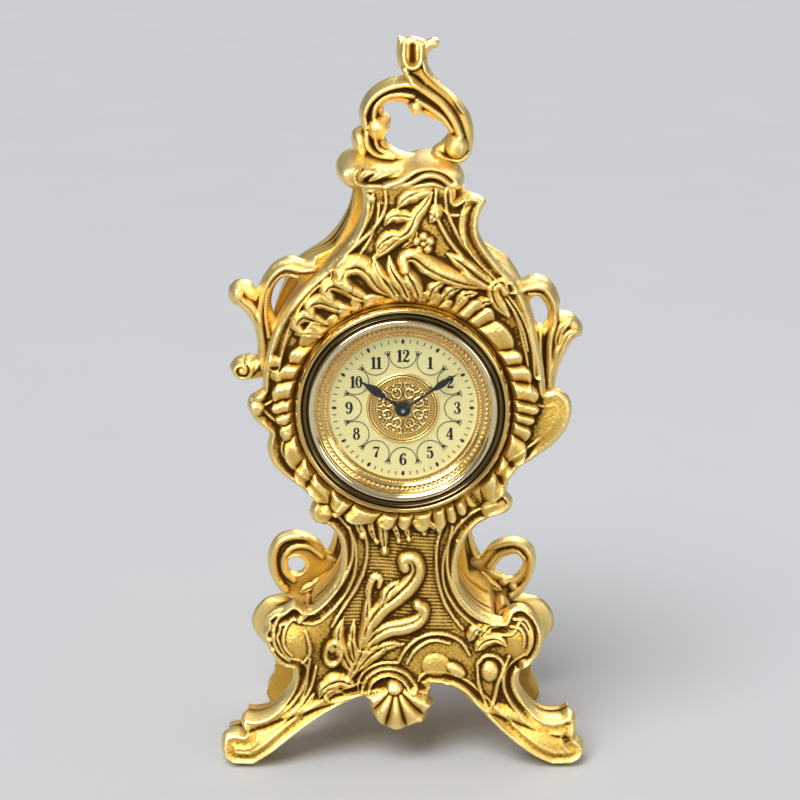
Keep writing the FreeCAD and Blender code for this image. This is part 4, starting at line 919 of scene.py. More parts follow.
# fluted shell under the apron
def apronShell(r):
    x, z = r.p[:, 0] - shell["x"], r.p[:, 1] - shell["z"]
    fan = np.degrees(np.arctan2(x, -z))
    reach = np.hypot(x, z)
    span = np.clip((shell["spread"] - np.abs(fan)) / 6, 0, 1) * np.clip((reach - 1.5) / 2.5, 0, 1)
    span = span * (r.p[:, 1] < shell["below"])
    flute = np.abs(np.cos(np.radians(fan) * shell["flutes"])) ** 0.6
    r.over(np.arange(len(x)), (1.4 + shell["rise"] * flute * ease(reach / 12)) * span, span > 0.02)
    r.boss(-3.4, 32.4, 3.6, 3.0, 3.6)


# ornament of the front, laid from the ground up
def frontShape(r):
    f = frontOrnament
    x, z = r.p[:, 0], r.p[:, 1]
    away = np.hypot(x, z - dialZ)
    r.ground -= edgeDrop(r.edge, f["rounding"]) * np.clip((neckTop - z) / 2.5, 0, 1)
    frontBorder(r, away)
    for swellX, swellZ, halfWidth, halfHeight, rise in frontSwells:
        r.ground += rise * bell(np.hypot((x - swellX) / halfWidth, (z - swellZ) / halfHeight))
    for sector in frillSectors:
        frill(r, *sector)
    apronShell(r)
    for kind, points, half, rise in frontStrokes:
        half = half * f["fuller"][kind]
        if kind == "ridge":
            r.ridge(points, half, rise, ends=(0.7, 0.7))
        elif kind == "band":
            r.band(points, half, rise)
        elif kind == "curl":
            r.curl(points, half, rise)
        else:
            r.leaf(points, half, rise, veins=3 if half > 2.1 else 0)
    for boss in frontBosses:
        r.boss(*boss)
    # rosette on the neck
    middle = (neckRosette["x"], neckRosette["z"])
    for k in range(neckRosette["petals"]):
        a = math.radians(90 + 360 * k / neckRosette["petals"])
        petal = (middle[0] + neckRosette["radius"] * math.cos(a),
                 middle[1] + neckRosette["radius"] * math.sin(a))
        r.boss(*petal, 1.9, 1.9, 2.6)
    r.boss(*middle, 1.3, 1.3, 3.2)
    # folds of the frill that hang over the waist
    for points, half, rise in frontDrips:
        r.leaf(points, half, rise, tip=0.9)
        r.boss(points[-1][0], points[-1][1] + 0.4, half * 0.8, half * 0.9, rise)
    # narrow ribs across the waist
    panel = insideOutline(r.p, ribPanel) & (z > ribs["low"] - 8)
    bend = 0.35 * np.sin(x * 0.16) + 0.05 * x
    wave = np.abs(np.sin(np.pi * (z + bend) / ribs["pitch"])) ** 0.8
    r.h += np.where(panel & (r.h < 0.3), ribs["rise"] * wave, 0)
    r.ground -= 0.6 * panel
    # the bezel's seat stays flat
    seat = ease((away - f["clearBezel"]) / 1.2)
    r.h *= seat
    r.ground *= seat
    sand = f["sand"] * np.sin(x * 2.1 + 1.3 * np.sin(z * 1.7)) * np.sin(z * 1.9 + 1.1 * np.sin(x * 1.3))
    r.h += sand * seat * (r.edge > 0.4)


drumHole = 38.0  # radius of the front's opening behind the bezel
frontLoop = joinRuns(frontOutline)
frontCasting, frontPlain = castingBody("frontCasting", [frontLoop, circleLoop(0, dialZ, drumHole, 0.8)],
                                       frontBase,
                                       frontInner, frontShape, facing=-1, core=coreOutline, extra=ribRows)
markCavity(frontCasting, plain=frontPlain)
finishPiece(frontCasting, "root", giltCasting, ["front_case"])
print("front casting", len(frontCasting.data.polygons))


# rear casting
rearHalf = [
    [(20.5, neckTop)], [(20.6, 229), (24, 219), (31, 209.5), (43, 201)],
    [(47.5, 194), (51, 186), (54, 176), (56, 165), (56.6, 154), (55, 143), (50.6, 131.5), (44.5, 121.5),
     (38, 113)],
    [(33.6, 105), (30.4, 96), (29, 87), (30, 78), (33.5, 69.5), (39, 61.5), (45, 55), (52, 51)],
    [(59.5, 48.5), (64.6, 42), (65.4, 35), (62, 28), (57, 23.5)],
    [(55.3, 18), (56.6, 12), (59.4, 6), (58.5, 2), (56, 0)], [(47, 0)],
    [(45, 5.5), (40.5, 12.5), (34, 19), (25, 24.5), (13, 27.6), (0, 28.4)]]
rearDepth = np.array([
    (0, 36), (8, 35), (20, 31.5), (36, 28.5), (56, 26.3), (76, 24.8), (100, 24), (194, 24), (207, 22.8),
    (224, 20.2), (neckTop, 17.5)])
screwPlaces = [(-25, 196), (27, 196), (-25, 104), (27, 104), (-40, 50), (40, 50)]

rearStrokes = [
    ("ridge", [(14, 236), (14.5, 227), (18, 218), (24, 210.5), (34, 202.5)], 1.3, 1.6),
    ("ridge", [(44, 190), (48.6, 180), (51, 168), (51.6, 155), (49.8, 142), (45, 131), (38, 121)], 1.5, 1.7),
    ("ridge", [(29, 105), (25.4, 96), (24, 86), (25, 76), (29, 67), (36, 58.6), (45, 51)], 1.4, 1.8),
    ("ridge", [(24, 103), (20.6, 94), (19.6, 84), (21, 74), (25, 65), (31, 57)], 0.9, 1.2),
    ("leaf", [(28, 51), (36, 47), (45, 44.5), (54, 44)], 3.2, 2.4),
    ("ridge", [(50, 24), (50.6, 16), (52.6, 9), (52.4, 3)], 1.6, 1.8),
    ("leaf", [(3, 33), (10, 36.4), (19, 36), (28, 31.5)], 2.6, 2.0),
    ("leaf", [(2, 44), (8, 50), (9, 58), (4, 64)], 2.6, 2.0)]

rearOpening = 31.5  # radius of the hole behind the movement
screwHole = 3.3
rearRounding = 2.6


def rearBase(points):
    return depthAt(points, rearDepth)


# hollow only as deep in as both castings are hollow
def rearInner(points, edge):
    covered = edgeDistance(points, [frontLoop]) * insideOutline(points, frontLoop)
    return innerFace(points, np.minimum(edge, covered), rearBase(points))


# ornament of the rear, the same on both sides
def rearShape(r):
    x, z = r.p[:, 0], r.p[:, 1]
    away = np.hypot(x, z - dialZ)
    r.ground -= edgeDrop(r.edge, rearRounding)
    r.h = np.maximum(r.h, 1.5 * bell((r.edge - 1.9) / 1.4) + 0.8 * bell((r.edge - 4.8) / 1.0))
    for side in (-1, 1):
        for kind, points, half, rise in rearStrokes:
            path = [(side * px, pz) for px, pz in points]
            if kind == "ridge":
                r.ridge(path, half, rise, ends=(0.6, 0.6))
            else:
                r.leaf(path, half, rise, veins=3)
        r.volute(side * 56.4, 38.6, 6.0, 1.3, 2.2, 90, 1.5, hand=-side)
    r.boss(0, 54, 2.4, 3.4, 2.0)
    # rings round the opening and each screw
    r.h = np.maximum(r.h, 1.6 * bell((away - 34.6) / 2.2))
    r.h = np.maximum(r.h, 0.8 * bell((away - 39.4) / 1.2))
    for px, pz in screwPlaces:
        gap = np.hypot(x - px, z - pz)
        r.h = r.h * ease((gap - 3.6) / 1.6) + 0.5 * bell((gap - 4.4) / 1.0)
    r.h *= ease((away - (rearOpening + 0.1)) / 1.2)


# the rear's walls draw in at the knees, the waist and the neck
def rearCore(loop, normal):
    p = loop.copy()
    x, z = loop[:, 0], loop[:, 1]
    p[:, 0] -= past(x, 34, 0.5) * (ease((z - 20) / 4) * ease((72 - z) / 8))
    p[:, 0] -= past(x, 23.5, 0.6) * (ease((z - 62) / 8) * ease((112 - z) / 8))
    p[:, 0] -= past(x, 17, 0.25) * ease((z - 204) / 6)
    return p


# whole outline from the runs of its right half, which start and end on the middle line
def mirrored(half):
    chain = [point for run in half for point in run]
    runs = [list(run) for run in half]
    position = len(chain)
    for run in reversed(half[1:]):
        start = position - len(run)
        runs.append([(-x, z) for x, z in reversed(chain[start - 1:position - 1])])
        position = start
    return runs


rearLoop = joinRuns(mirrored(rearHalf), 0.8)
rearHoles = [circleLoop(0, dialZ, rearOpening)] + [circleLoop(px, pz, screwHole) for px, pz in screwPlaces]
rearCasting, rearPlain = castingBody("rearCasting", [rearLoop] + rearHoles, rearBase, rearInner, rearShape,
                                     facing=1, core=rearCore, step=0.62)
markCavity(rearCasting, plain=rearPlain)
print("rear casting", len(rearCasting.data.polygons))

# pierced lugs beside the rear waist
lug = {"front": 15.0, "back": 20.0, "step": 0.55, "roll": 2.2, "loopStep": 0.6}
leftLugLoop = joinRuns([
    [(-30, 52)],
    [(-44, 50), (-52, 54), (-57, 63), (-57.4, 73), (-53, 80.5), (-45, 82.5), (-37, 79), (-32, 73)],
    [(-27, 70)], [(-30, 52)]], lug["loopStep"])
rightLugLoop = joinRuns([
    [(30, 52)], [(45, 50), (52, 55), (56.5, 66), (55.5, 75), (48, 79.5), (39, 77.5), (33, 71)],
    [(27, 69)], [(30, 52)]], lug["loopStep"])
leftLugHole = circleLoop(-45.5, 67, 3.5, 0.5)
rightLugHole = joinRuns([
    [(39, 65)], [(43, 70), (48.5, 71.3), (51, 67), (46.5, 61.5), (39, 65)]], lug["loopStep"])


def leftLugShape(r):
    r.ridge([(-32, 75), (-38, 79.4), (-46, 80.4), (-52.4, 77.6), (-55, 71), (-54, 62.6), (-50, 56)], 1.5, 1.6)
    r.ridge([(-34, 71), (-40, 75.6), (-46.6, 75.4), (-50.6, 70.6), (-50.4, 64.6), (-46.6, 60.4)], 1.2, 1.3)
    r.boss(-45.5, 67, 5.4, 5.4, 1.3, 0, 0.36)
    r.leaf([(-44, 55), (-38, 58), (-33, 63)], 2.6, 1.4, veins=2)


def rightLugShape(r):
    r.ridge([(33, 73), (40, 76.4), (47.6, 77.4), (53, 73.6), (54.6, 67), (52, 58.6), (46, 53.4)], 1.5, 1.6)
    r.ridge([(36, 67), (40.6, 72.4), (47.6, 74), (51.6, 70)], 1.0, 1.2)
    r.boss(43, 60, 2.2, 2.2, 1.6)
    r.boss(47, 57.6, 1.9, 1.9, 1.5)
    r.leaf([(42, 56), (37, 59), (33, 65)], 2.6, 1.4, veins=2)


def lugPlaque(name, loops, shape):
    return plaque(name, loops, lug["front"], lug["back"], shape, lug["step"], lug["roll"])


leftLug = lugPlaque("leftLug", [leftLugLoop, leftLugHole], leftLugShape)
rightLug = lugPlaque("rightLug", [rightLugLoop, rightLugHole], rightLugShape)
gildPiece(leftLug)
gildPiece(rightLug)
finishPiece(rearCasting, "root", giltCasting, ["rear_case"])
print("lugs ready")

# finial: a moulded cap and an open scroll that flares into a cup
finial = {"capFront": -20.5, "capBack": 16.5, "scrollFront": -7.0, "scrollBack": 5.0, "fuller": 1.25,
          "cupFrom": 280.0, "cupHeight": 12.0, "cupThin": 0.45}
capLoop = joinRuns([
    [(-18, 235)],
    [(-22, 236.4), (-25.6, 239.6), (-26.6, 243.4), (-24.6, 246.8), (-20.4, 248.6), (-15, 248.4),
     (-8, 246.2), (-1, 246), (6, 247.8), (13, 247.6), (19.4, 245.2), (23.4, 241.4), (24.4, 237.6),
     (22, 235)],
    [(-18, 235)]], 0.6)
scrollLoop = joinRuns([
    [(18, 245)],
    [(24, 244), (27.4, 249.6), (28, 256.6), (26, 264), (21.5, 270), (15.5, 275), (11.6, 279.5),
     (9.6, 284), (10.4, 287.8), (13.6, 289.6), (14, 292.2), (11.6, 293.4), (8.6, 292.2)],
    [(6.4, 293.2), (3.6, 293.8), (0.6, 293.2)], [(-2.0, 294)], [(-2.6, 288), (-2.0, 283), (0.2, 278.6)],
    [(-6.6, 277.2), (-13.4, 272.6), (-17.2, 265.6), (-16.8, 258.8)],
    [(-20, 256.4), (-20.2, 251), (-17.6, 246.6)], [(-14, 244.6)], [(18, 245)]], 0.5)
scrollGap = joinRuns([
    [(-7.6, 264.6)], [(-4.8, 261.8), (-5, 257.6)],
    [(-7, 254.8), (-4.6, 251), (0.4, 248.4), (6, 247.6), (10.8, 247.8)], [(12, 250.4), (15.6, 253)],
    [(17.6, 256.2), (15.6, 259.4), (12, 261.4), (9, 262.4)],
    [(7.2, 263.8), (5, 262.6), (3, 264.2), (1.4, 267)],
    [(-1.4, 268), (-4.4, 268.4), (-7, 267), (-7.6, 264.6)]], 0.5)


def capShape(r):
    r.boss(-20.6, 241.8, 5.6, 6.2, 2.8)
    r.ridge([(-14.6, 247), (-18.2, 244.4), (-18.4, 240.6), (-14.6, 238.6), (-9, 238.4),
             (-2, 236.8)], 1.0, 3.2)
    r.leaf([(-17, 241.4), (-12, 244.8), (-5.6, 243.6)], 1.9, 2.8)
    r.leaf([(-13, 240.6), (-7.6, 243.4), (0, 244.6)], 1.7, 2.6)
    r.ridge([(-7, 238.6), (-1, 240.6), (4.6, 244.8), (11, 246), (17, 244.2), (21.6, 240.4)], 1.5, 3.6)
    r.ridge([(-3.4, 237.6), (3, 240), (9, 242.8), (14.4, 242), (18.6, 238.8)], 1.3, 3.0)
    r.ridge([(1, 236.8), (7.4, 238.8), (12.4, 239.2), (16.4, 236.8)], 1.2, 2.4)
    r.boss(21, 238.4, 2.8, 2.4, 3.2)


def scrollShape(r):
    f = finial["fuller"]
    r.ridge([(-14.8, 259), (-15.4, 264), (-12.6, 270), (-7, 274.2), (0, 276), (6, 275.4)], 1.2 * f, 3.2)
    r.ridge([(-11.4, 263), (-10.6, 267), (-7, 270.6), (-1.6, 272), (4, 271.4)], 0.9 * f, 2.2)
    r.boss(-9.6, 258.4, 4.6, 4.6, 4.4)
    r.boss(-17, 252, 3.0, 5.6, 3.4, 12)
    r.ridge([(-14.4, 257), (-13.6, 251.6), (-10, 248), (-4, 246.8)], 1.0 * f, 3.0)
    r.ridge([(-11, 254.4), (-9.4, 250.6), (-5, 248)], 0.7 * f, 2.2)
    r.boss(4.4, 266, 3.4, 3.0, 3.6, 30)
    r.ridge([(0.4, 281), (4, 276.6), (9.6, 272.6), (15, 268.4), (19.6, 262.4), (22.4, 255.6)], 1.3 * f, 3.4)
    r.ridge([(5.6, 269.6), (10.6, 266.6), (15.6, 262.6), (19, 257.6)], 1.0 * f, 2.2)
    r.ridge([(8, 285), (9.4, 280.4), (13.6, 276), (19, 271.4), (23.6, 265)], 0.8 * f, 2.0)
    r.boss(21, 251.4, 4.4, 4.8, 4.6)
    r.ridge([(13, 249), (16.6, 246.4), (21.6, 245.4), (26, 248)], 1.0 * f, 2.8)
    r.ridge([(0.4, 291), (0.2, 285.6), (2, 282.6), (5, 282.4), (7, 285), (7.2, 290.4)], 0.8 * f, 2.4)
    r.groove([(3.7, 290), (3.7, 287.4), (3.7, 285)], 1.9, 3.0)
    r.groove([(2.6, 280), (5.4, 278.6), (8, 276)], 0.8, 1.6)


# the cup on top narrows to its lip
def scrollTaper(points):
    return 1 - finial["cupThin"] * ease((points[:, 1] - finial["cupFrom"]) / finial["cupHeight"])


finialCap = plaque("finialCap", [capLoop], finial["capFront"], finial["capBack"], capShape, 0.5, 4.2, 1.0)
finialScroll = plaque("finialScroll", [scrollLoop, scrollGap], finial["scrollFront"], finial["scrollBack"],
                      scrollShape, 0.42, 4.8, 1.0, scrollTaper)
gildPiece(finialCap)
gildPiece(finialScroll, ["finial"])
print("finial ready")

# side scrolls
wing = {"front": -14.0, "back": -3.0, "step": 0.5, "roll": 4.4}
leftWingLoop = joinRuns([
    [(-32, 201)], [(-34, 207.5), (-39, 206.5), (-45, 208), (-51, 205.5), (-55.5, 200), (-58.4, 194)],
    [(-61, 197.6), (-66, 198.4), (-69.6, 194.5), (-69, 189.5), (-64.6, 186.4), (-60.6, 181), (-58.8, 174)],
    [(-58.6, 167)],
    [(-62, 167.2), (-66.5, 166.5), (-69.8, 162.6), (-68, 158.6), (-63, 157), (-56, 157.6)], [(-51, 158)],
    [(-32, 201)]], 0.5)
leftWingGap = joinRuns([
    [(-41.5, 197.5)], [(-46, 199.8), (-50.4, 196.5), (-52.6, 189.5), (-51, 182.5)],
    [(-46, 189.6), (-41.5, 197.5)]], 0.5)
rightWingLoop = joinRuns([
    [(42, 196)], [(47, 198.6), (53, 200.6), (59, 197.6), (62.6, 191), (62.4, 185.8)],
    [(67.6, 184.6), (71.6, 180), (72, 176.2), (68.4, 173.6)], [(65.4, 168), (62.4, 160), (61.2, 151)],
    [(52, 151)], [(42, 196)]], 0.5)
rightWingGap = joinRuns([
    [(50.8, 190)], [(53.8, 191.6), (57.4, 187), (57.6, 182), (54.4, 180.2), (50.8, 184.8), (50.8, 190)]], 0.5)


def leftWingShape(r):
    r.ridge([(-33.6, 204), (-40, 203.4), (-47, 204.4), (-52.6, 200), (-55.6, 193), (-57, 184),
             (-56, 173), (-56, 163)], 1.2, 2.2)
    r.ridge([(-42, 200.4), (-48, 200.6), (-53, 194.6), (-54.6, 186), (-53.6, 176)], 0.9, 1.5)
    r.leaf([(-56.6, 178), (-59.6, 186), (-64, 190.6), (-66, 195.4)], 3.4, 2.6, veins=2)
    r.boss(-66, 193.6, 2.8, 3.4, 2.4)
    r.volute(-64.6, 162, 4.4, 1.2, 2.4, 60, 1.3, hand=-1)
    r.leaf([(-57, 170), (-59.6, 163), (-62, 160)], 2.2, 1.8)


def rightWingShape(r):
    r.ridge([(44, 194), (50, 196.4), (56, 196), (60, 190), (60.2, 183), (58.6, 174), (58.6, 164),
             (58.6, 154)], 1.4, 2.4)
    r.ridge([(50, 193.6), (55, 192.6), (58, 187)], 0.8, 1.2)
    r.leaf([(60, 160), (62.6, 170), (66, 177), (70.6, 178.6)], 3.4, 2.6, veins=3)
    r.leaf([(61, 172), (63, 179.4), (67.4, 183)], 2.4, 2.2, veins=2)
    r.ridge([(54.6, 178), (55, 168), (56.4, 158)], 0.9, 1.4)


def wingPlaque(name, loops, shape):
    return plaque(name, loops, wing["front"], wing["back"], shape, wing["step"], wing["roll"], 1.0)


leftWing = wingPlaque("leftWing", [leftWingLoop, leftWingGap], leftWingShape)
rightWing = wingPlaque("rightWing", [rightWingLoop, rightWingGap], rightWingShape)
gildPiece(leftWing, ["left_wing"])
gildPiece(rightWing, ["right_wing"])
print("side scrolls ready")


# closed profile of (radius, y), turned about the hands' axis
def lathe(name, profile, count=256):
    p = np.array(profile, float)
    a = np.linspace(0, 2 * np.pi, count, endpoint=False)
    n = len(p)
    verts = np.stack([np.outer(np.cos(a), p[:, 0]), np.tile(p[:, 1], (count, 1)),
                      dialZ + np.outer(np.sin(a), p[:, 0])], 2).reshape(-1, 3)
    i = np.arange(count)[:, None] * n
    j = (np.arange(count)[:, None] + 1) % count * n
    k = np.arange(n)[None, :]
    m = (k + 1) % n
    quads = np.stack([i + k, i + m, j + m, j + k], 2).reshape(-1, 4)
    return newMesh(name, verts, quads[:, ::-1] if signedArea(p) > 0 else quads)


# profile with smooth runs between its corners
def finePath(runs, perSpan=6):
    rows = []
    last = None
    for run in runs:
        chain = ([last] if last else []) + list(run)
        last = run[-1]
        curve = catmull(chain, perSpan)
        rows.append(curve if not rows else curve[1:])
    return np.vstack(rows)


# bezel as (radius, y): seat, flange, rounded rim, a cove painted with a dark reflection and the glass's ring
# painted with a pale reflection
bezelProfile = [
    [(36.1, -22.1), (36.1, -10)], [(37.2, -10)], [(37.2, -23.9)], [(42.7, -23.9)], [(42.7, -26.4)],
    [(42.6, -27.6), (42.1, -28.6), (41.5, -29.1), (40.9, -29.0), (40.5, -28.5)],
    [(40.1, -27.6), (39.3, -27.0), (38.4, -27.1), (37.8, -27.9)],
    [(37.2, -28.7), (36.6, -28.9), (35.8, -28.6), (35.2, -28.0), (34.8, -27.3)], [(35.3, -27.1)],
    [(35.3, -22.1)], [(36.1, -22.1)]]
# radii that split the bezel's front between the painted dark reflection of the cove and the painted pale
# reflection of the ring
bezelReflectionBands = {"front": -26.0, "coveOuter": 40.45,
             "coveInner": 37.9}  # where the dark cove and the pale ring lie


# turned and polished gilt, a little uneven
def polishedGold(name, base, rough, spread=0.05):
    material, t, bsdf = newMaterial(name)
    smear = surfaceNoise(t, Scale=70.0, Detail=4.0, Roughness=0.6)
    fine = surfaceNoise(t, Scale=900.0, Detail=2.0)
    darker = tuple(c * 0.72 for c in base[:3]) + (1,)
    t.links.new(mixColour(t, smear.outputs["Fac"], base, darker), bsdf.inputs["Base Color"])
    bsdf.inputs["Metallic"].default_value = 1.0
    unevenRoughness(t, bsdf, rough - spread / 2, smear, spread * 2)
    addBump(t, bsdf, fine.outputs["Fac"], 0.12)
    return material


polishedBrass = polishedGold("polishedBrass", (0.80, 0.56, 0.20, 1), 0.12)
dialGilt = polishedGold("dialGilt", (0.74, 0.48, 0.13, 1), 0.28, 0.1)
# paler copy of the polished brass: a painted pale reflection for the ring by the glass
paleReflectionRing = polishedGold("paleReflectionRing", (0.86, 0.74, 0.46, 1), 0.10)
# dark copy of the polished brass: a painted dark reflection for the bezel's cove
darkReflectionCove = polishedGold("darkReflectionCove", (0.15, 0.105, 0.045, 1), 0.12)
bezelRing = lathe("bezelRing", finePath(bezelProfile)[:-1])
finishPiece(bezelRing, "root", polishedBrass, ["bezel"])
bezelRing.data.materials.append(darkReflectionCove)
bezelRing.data.materials.append(paleReflectionRing)
# cove faces get the painted dark reflection, the faces inside it the painted pale reflection
for face in bezelRing.data.polygons:
    away = math.hypot(face.center.x, face.center.z - dialZ * mm) / mm
    if face.center.y < bezelReflectionBands["front"] * mm and away < bezelReflectionBands["coveOuter"]:
        face.material_index = 1 if away > bezelReflectionBands["coveInner"] else 2
print("bezel ready")


# cream enamel of the dial, faintly speckled
def enamelMaterial():
    material, t, bsdf = newMaterial("creamEnamel")
    slow = surfaceNoise(t, Scale=55.0, Detail=5.0, Roughness=0.6)
    speck = surfaceNoise(t, Scale=1400.0, Detail=2.0)
    tone = mixColour(t, slow.outputs["Fac"], (0.95, 0.87, 0.40, 1), (0.91, 0.81, 0.33, 1))
    t.links.new(tone, bsdf.inputs["Base Color"])
    unevenRoughness(t, bsdf, 0.32, slow, 0.2)
    addBump(t, bsdf, speck.outputs["Fac"], 0.08)
    return material


# black paint or ink that hardly shines
def blackMaterial(name, tone=0.006, rough=0.42):
    material, t, bsdf = newMaterial(name)
    slow = surfaceNoise(t, Scale=300.0, Detail=3.0)
    cold = (tone, tone, tone * 1.2, 1)
    warm = (tone * 2.2, tone * 2, tone * 1.8, 1)
    t.links.new(mixColour(t, slow.outputs["Fac"], cold, warm), bsdf.inputs["Base Color"])
    unevenRoughness(t, bsdf, rough, slow, 0.15)
    bsdf.inputs["Specular IOR Level"].default_value = 0.2
    return material


# clear glass that lets shadow and diffuse rays through
def glassMaterial():
    material, t, bsdf = newMaterial("clearGlass")
    out = t.nodes["Material Output"]
    smear = surfaceNoise(t, Scale=90.0, Detail=3.0)
    t.links.new(math2(t, "MULTIPLY", smear.outputs["Fac"], 0.03), bsdf.inputs["Roughness"])
    t.links.new(mixColour(t, smear.outputs["Fac"], (1, 1, 1, 1), (0.98, 0.99, 0.985, 1)),
                bsdf.inputs["Base Color"])
    bsdf.inputs["Transmission Weight"].default_value = 1.0
    bsdf.inputs["IOR"].default_value = 1.28
    path = node(t, "ShaderNodeLightPath")
    clear = node(t, "ShaderNodeBsdfTransparent")
    mixer = node(t, "ShaderNodeMixShader")
    through = math2(t, "MAXIMUM", path.outputs["Is Shadow Ray"], path.outputs["Is Diffuse Ray"])
    t.links.new(through, mixer.inputs[0])
    t.links.new(bsdf.outputs[0], mixer.inputs[1])
    t.links.new(clear.outputs[0], mixer.inputs[2])
    t.links.new(mixer.outputs[0], out.inputs["Surface"])
    return material


# metal brushed along the piece, with slow stains
def brushedMetal(name, base, rough, stretch=(60.0, 1400.0, 60.0)):
    material, t, bsdf = newMaterial(name)
    coord = node(t, "ShaderNodeTexCoord")
    lay = node(t, "ShaderNodeMapping")
    lay.inputs["Scale"].default_value = stretch
    brush = node(t, "ShaderNodeTexNoise", Scale=1.0, Detail=3.0)
    stain = surfaceNoise(t, Scale=120.0, Detail=4.0)
    t.links.new(coord.outputs["Object"], lay.inputs["Vector"])
    t.links.new(lay.outputs[0], brush.inputs["Vector"])
    dull = tuple(c * 0.6 for c in base[:3]) + (1,)
    t.links.new(mixColour(t, stain.outputs["Fac"], base, dull), bsdf.inputs["Base Color"])
    bsdf.inputs["Metallic"].default_value = 1.0
    unevenRoughness(t, bsdf, rough, brush, 0.18)
    addBump(t, bsdf, brush.outputs["Fac"], 0.15)
    return material


dialInk = blackMaterial("dialInk", 0.006, 0.6)
cadMaterials = {
    "gilt_casting": giltMaterial("giltPlain", 0.6), "polished_brass": polishedBrass,
    "cream_enamel": enamelMaterial(), "black_paint": blackMaterial("blackPaint"),
    "clear_glass": glassMaterial(),
    "movement_brass": brushedMetal("movementBrass", (0.72, 0.50, 0.18, 1), 0.26),
    "steel": brushedMetal("brushedSteel", (0.56, 0.57, 0.59, 1), 0.24),
    "spring_steel": brushedMetal("springSteel", (0.20, 0.24, 0.36, 1), 0.22)}
slotOf = {part["node"]: part["material_slot"] for part in frame["record"]["subparts"]}
for name, obj in frame["nodes"].items():
    chosen = cadMaterials[slotOf[name]]
    if len(obj.data.materials) == 0:
        obj.data.materials.append(chosen)
    for place in obj.material_slots:
        place.material = chosen
print("movement and glass ready")


# ring of copies: Geometry Nodes that set small shapes round the dial
def ringTree(name, shape, material):
    tree = bpy.data.node_groups.new(name, "GeometryNodeTree")
    for label, kind, value in (("Count", "NodeSocketInt", 60), ("Radius", "NodeSocketFloat", 0.02),
                               ("StartTurn", "NodeSocketFloat", 0.0), ("Depth", "NodeSocketFloat", 0.0),
                               ("AxisHeight", "NodeSocketFloat", 0.15), ("Size", "NodeSocketFloat", 0.001)):
        tree.interface.new_socket(label, in_out="INPUT", socket_type=kind).default_value = value
    tree.interface.new_socket("Geometry", in_out="OUTPUT", socket_type="NodeSocketGeometry")
    gin, gout = tree.nodes.new("NodeGroupInput"), tree.nodes.new("NodeGroupOutput")
    line = tree.nodes.new("GeometryNodePoints")
    tree.links.new(gin.outputs["Count"], line.inputs["Count"])
    index = tree.nodes.new("GeometryNodeInputIndex")
    share = math2(tree, "DIVIDE", index.outputs[0], gin.outputs["Count"])
    angle = math2(tree, "ADD", math2(tree, "MULTIPLY", share, 2 * math.pi), gin.outputs["StartTurn"])
    spot = tree.nodes.new("ShaderNodeCombineXYZ")
    tree.links.new(math2(tree, "MULTIPLY", gin.outputs["Radius"], math2(tree, "SINE", angle)), spot.inputs[0])
    tree.links.new(gin.outputs["Depth"], spot.inputs[1])
    high = math2(tree, "MULTIPLY", gin.outputs["Radius"], math2(tree, "COSINE", angle))
    tree.links.new(math2(tree, "ADD", high, gin.outputs["AxisHeight"]), spot.inputs[2])
    tree.links.new(spot.outputs[0], line.inputs["Position"])
    copies = tree.nodes.new("GeometryNodeInstanceOnPoints")
    tree.links.new(line.outputs[0], copies.inputs["Points"])
    tree.links.new(shape(tree, gin), copies.inputs["Instance"])
    turn = tree.nodes.new("ShaderNodeCombineXYZ")
    tree.links.new(angle, turn.inputs[1])
    tree.links.new(turn.outputs[0], copies.inputs["Rotation"])
    real = tree.nodes.new("GeometryNodeRealizeInstances")
    tree.links.new(copies.outputs[0], real.inputs[0])
    smooth = tree.nodes.new("GeometryNodeSetShadeSmooth")
    tree.links.new(real.outputs[0], smooth.inputs[0])
    paint = tree.nodes.new("GeometryNodeSetMaterial")
    paint.inputs["Material"].default_value = material
    tree.links.new(smooth.outputs[0], paint.inputs[0])
    tree.links.new(paint.outputs[0], gout.inputs[0])
    return tree


def beadShape(tree, gin):
    bead = tree.nodes.new("GeometryNodeMeshUVSphere")
    bead.inputs["Segments"].default_value = 8
    bead.inputs["Rings"].default_value = 5
    tree.links.new(gin.outputs["Size"], bead.inputs["Radius"])
    return bead.outputs[0]


def barShape(tree, gin, wide=0.22, deep=0.1, tall=1.0):
    bar = tree.nodes.new("GeometryNodeMeshCube")
    sizes = tree.nodes.new("ShaderNodeCombineXYZ")
    for k, share in enumerate((wide, deep, tall)):
        tree.links.new(math2(tree, "MULTIPLY", gin.outputs["Size"], share), sizes.inputs[k])
    tree.links.new(sizes.outputs[0], bar.inputs["Size"])
    return bar.outputs[0]


def lozengeShape(tree, gin):
    bead = tree.nodes.new("GeometryNodeMeshIcoSphere")
    bead.inputs["Subdivisions"].default_value = 1
    tree.links.new(gin.outputs["Size"], bead.inputs["Radius"])
    squash = tree.nodes.new("GeometryNodeTransform")
    squash.inputs["Scale"].default_value = (0.62, 0.12, 1.0)
    tree.links.new(bead.outputs[0], squash.inputs[0])
    return squash.outputs[0]


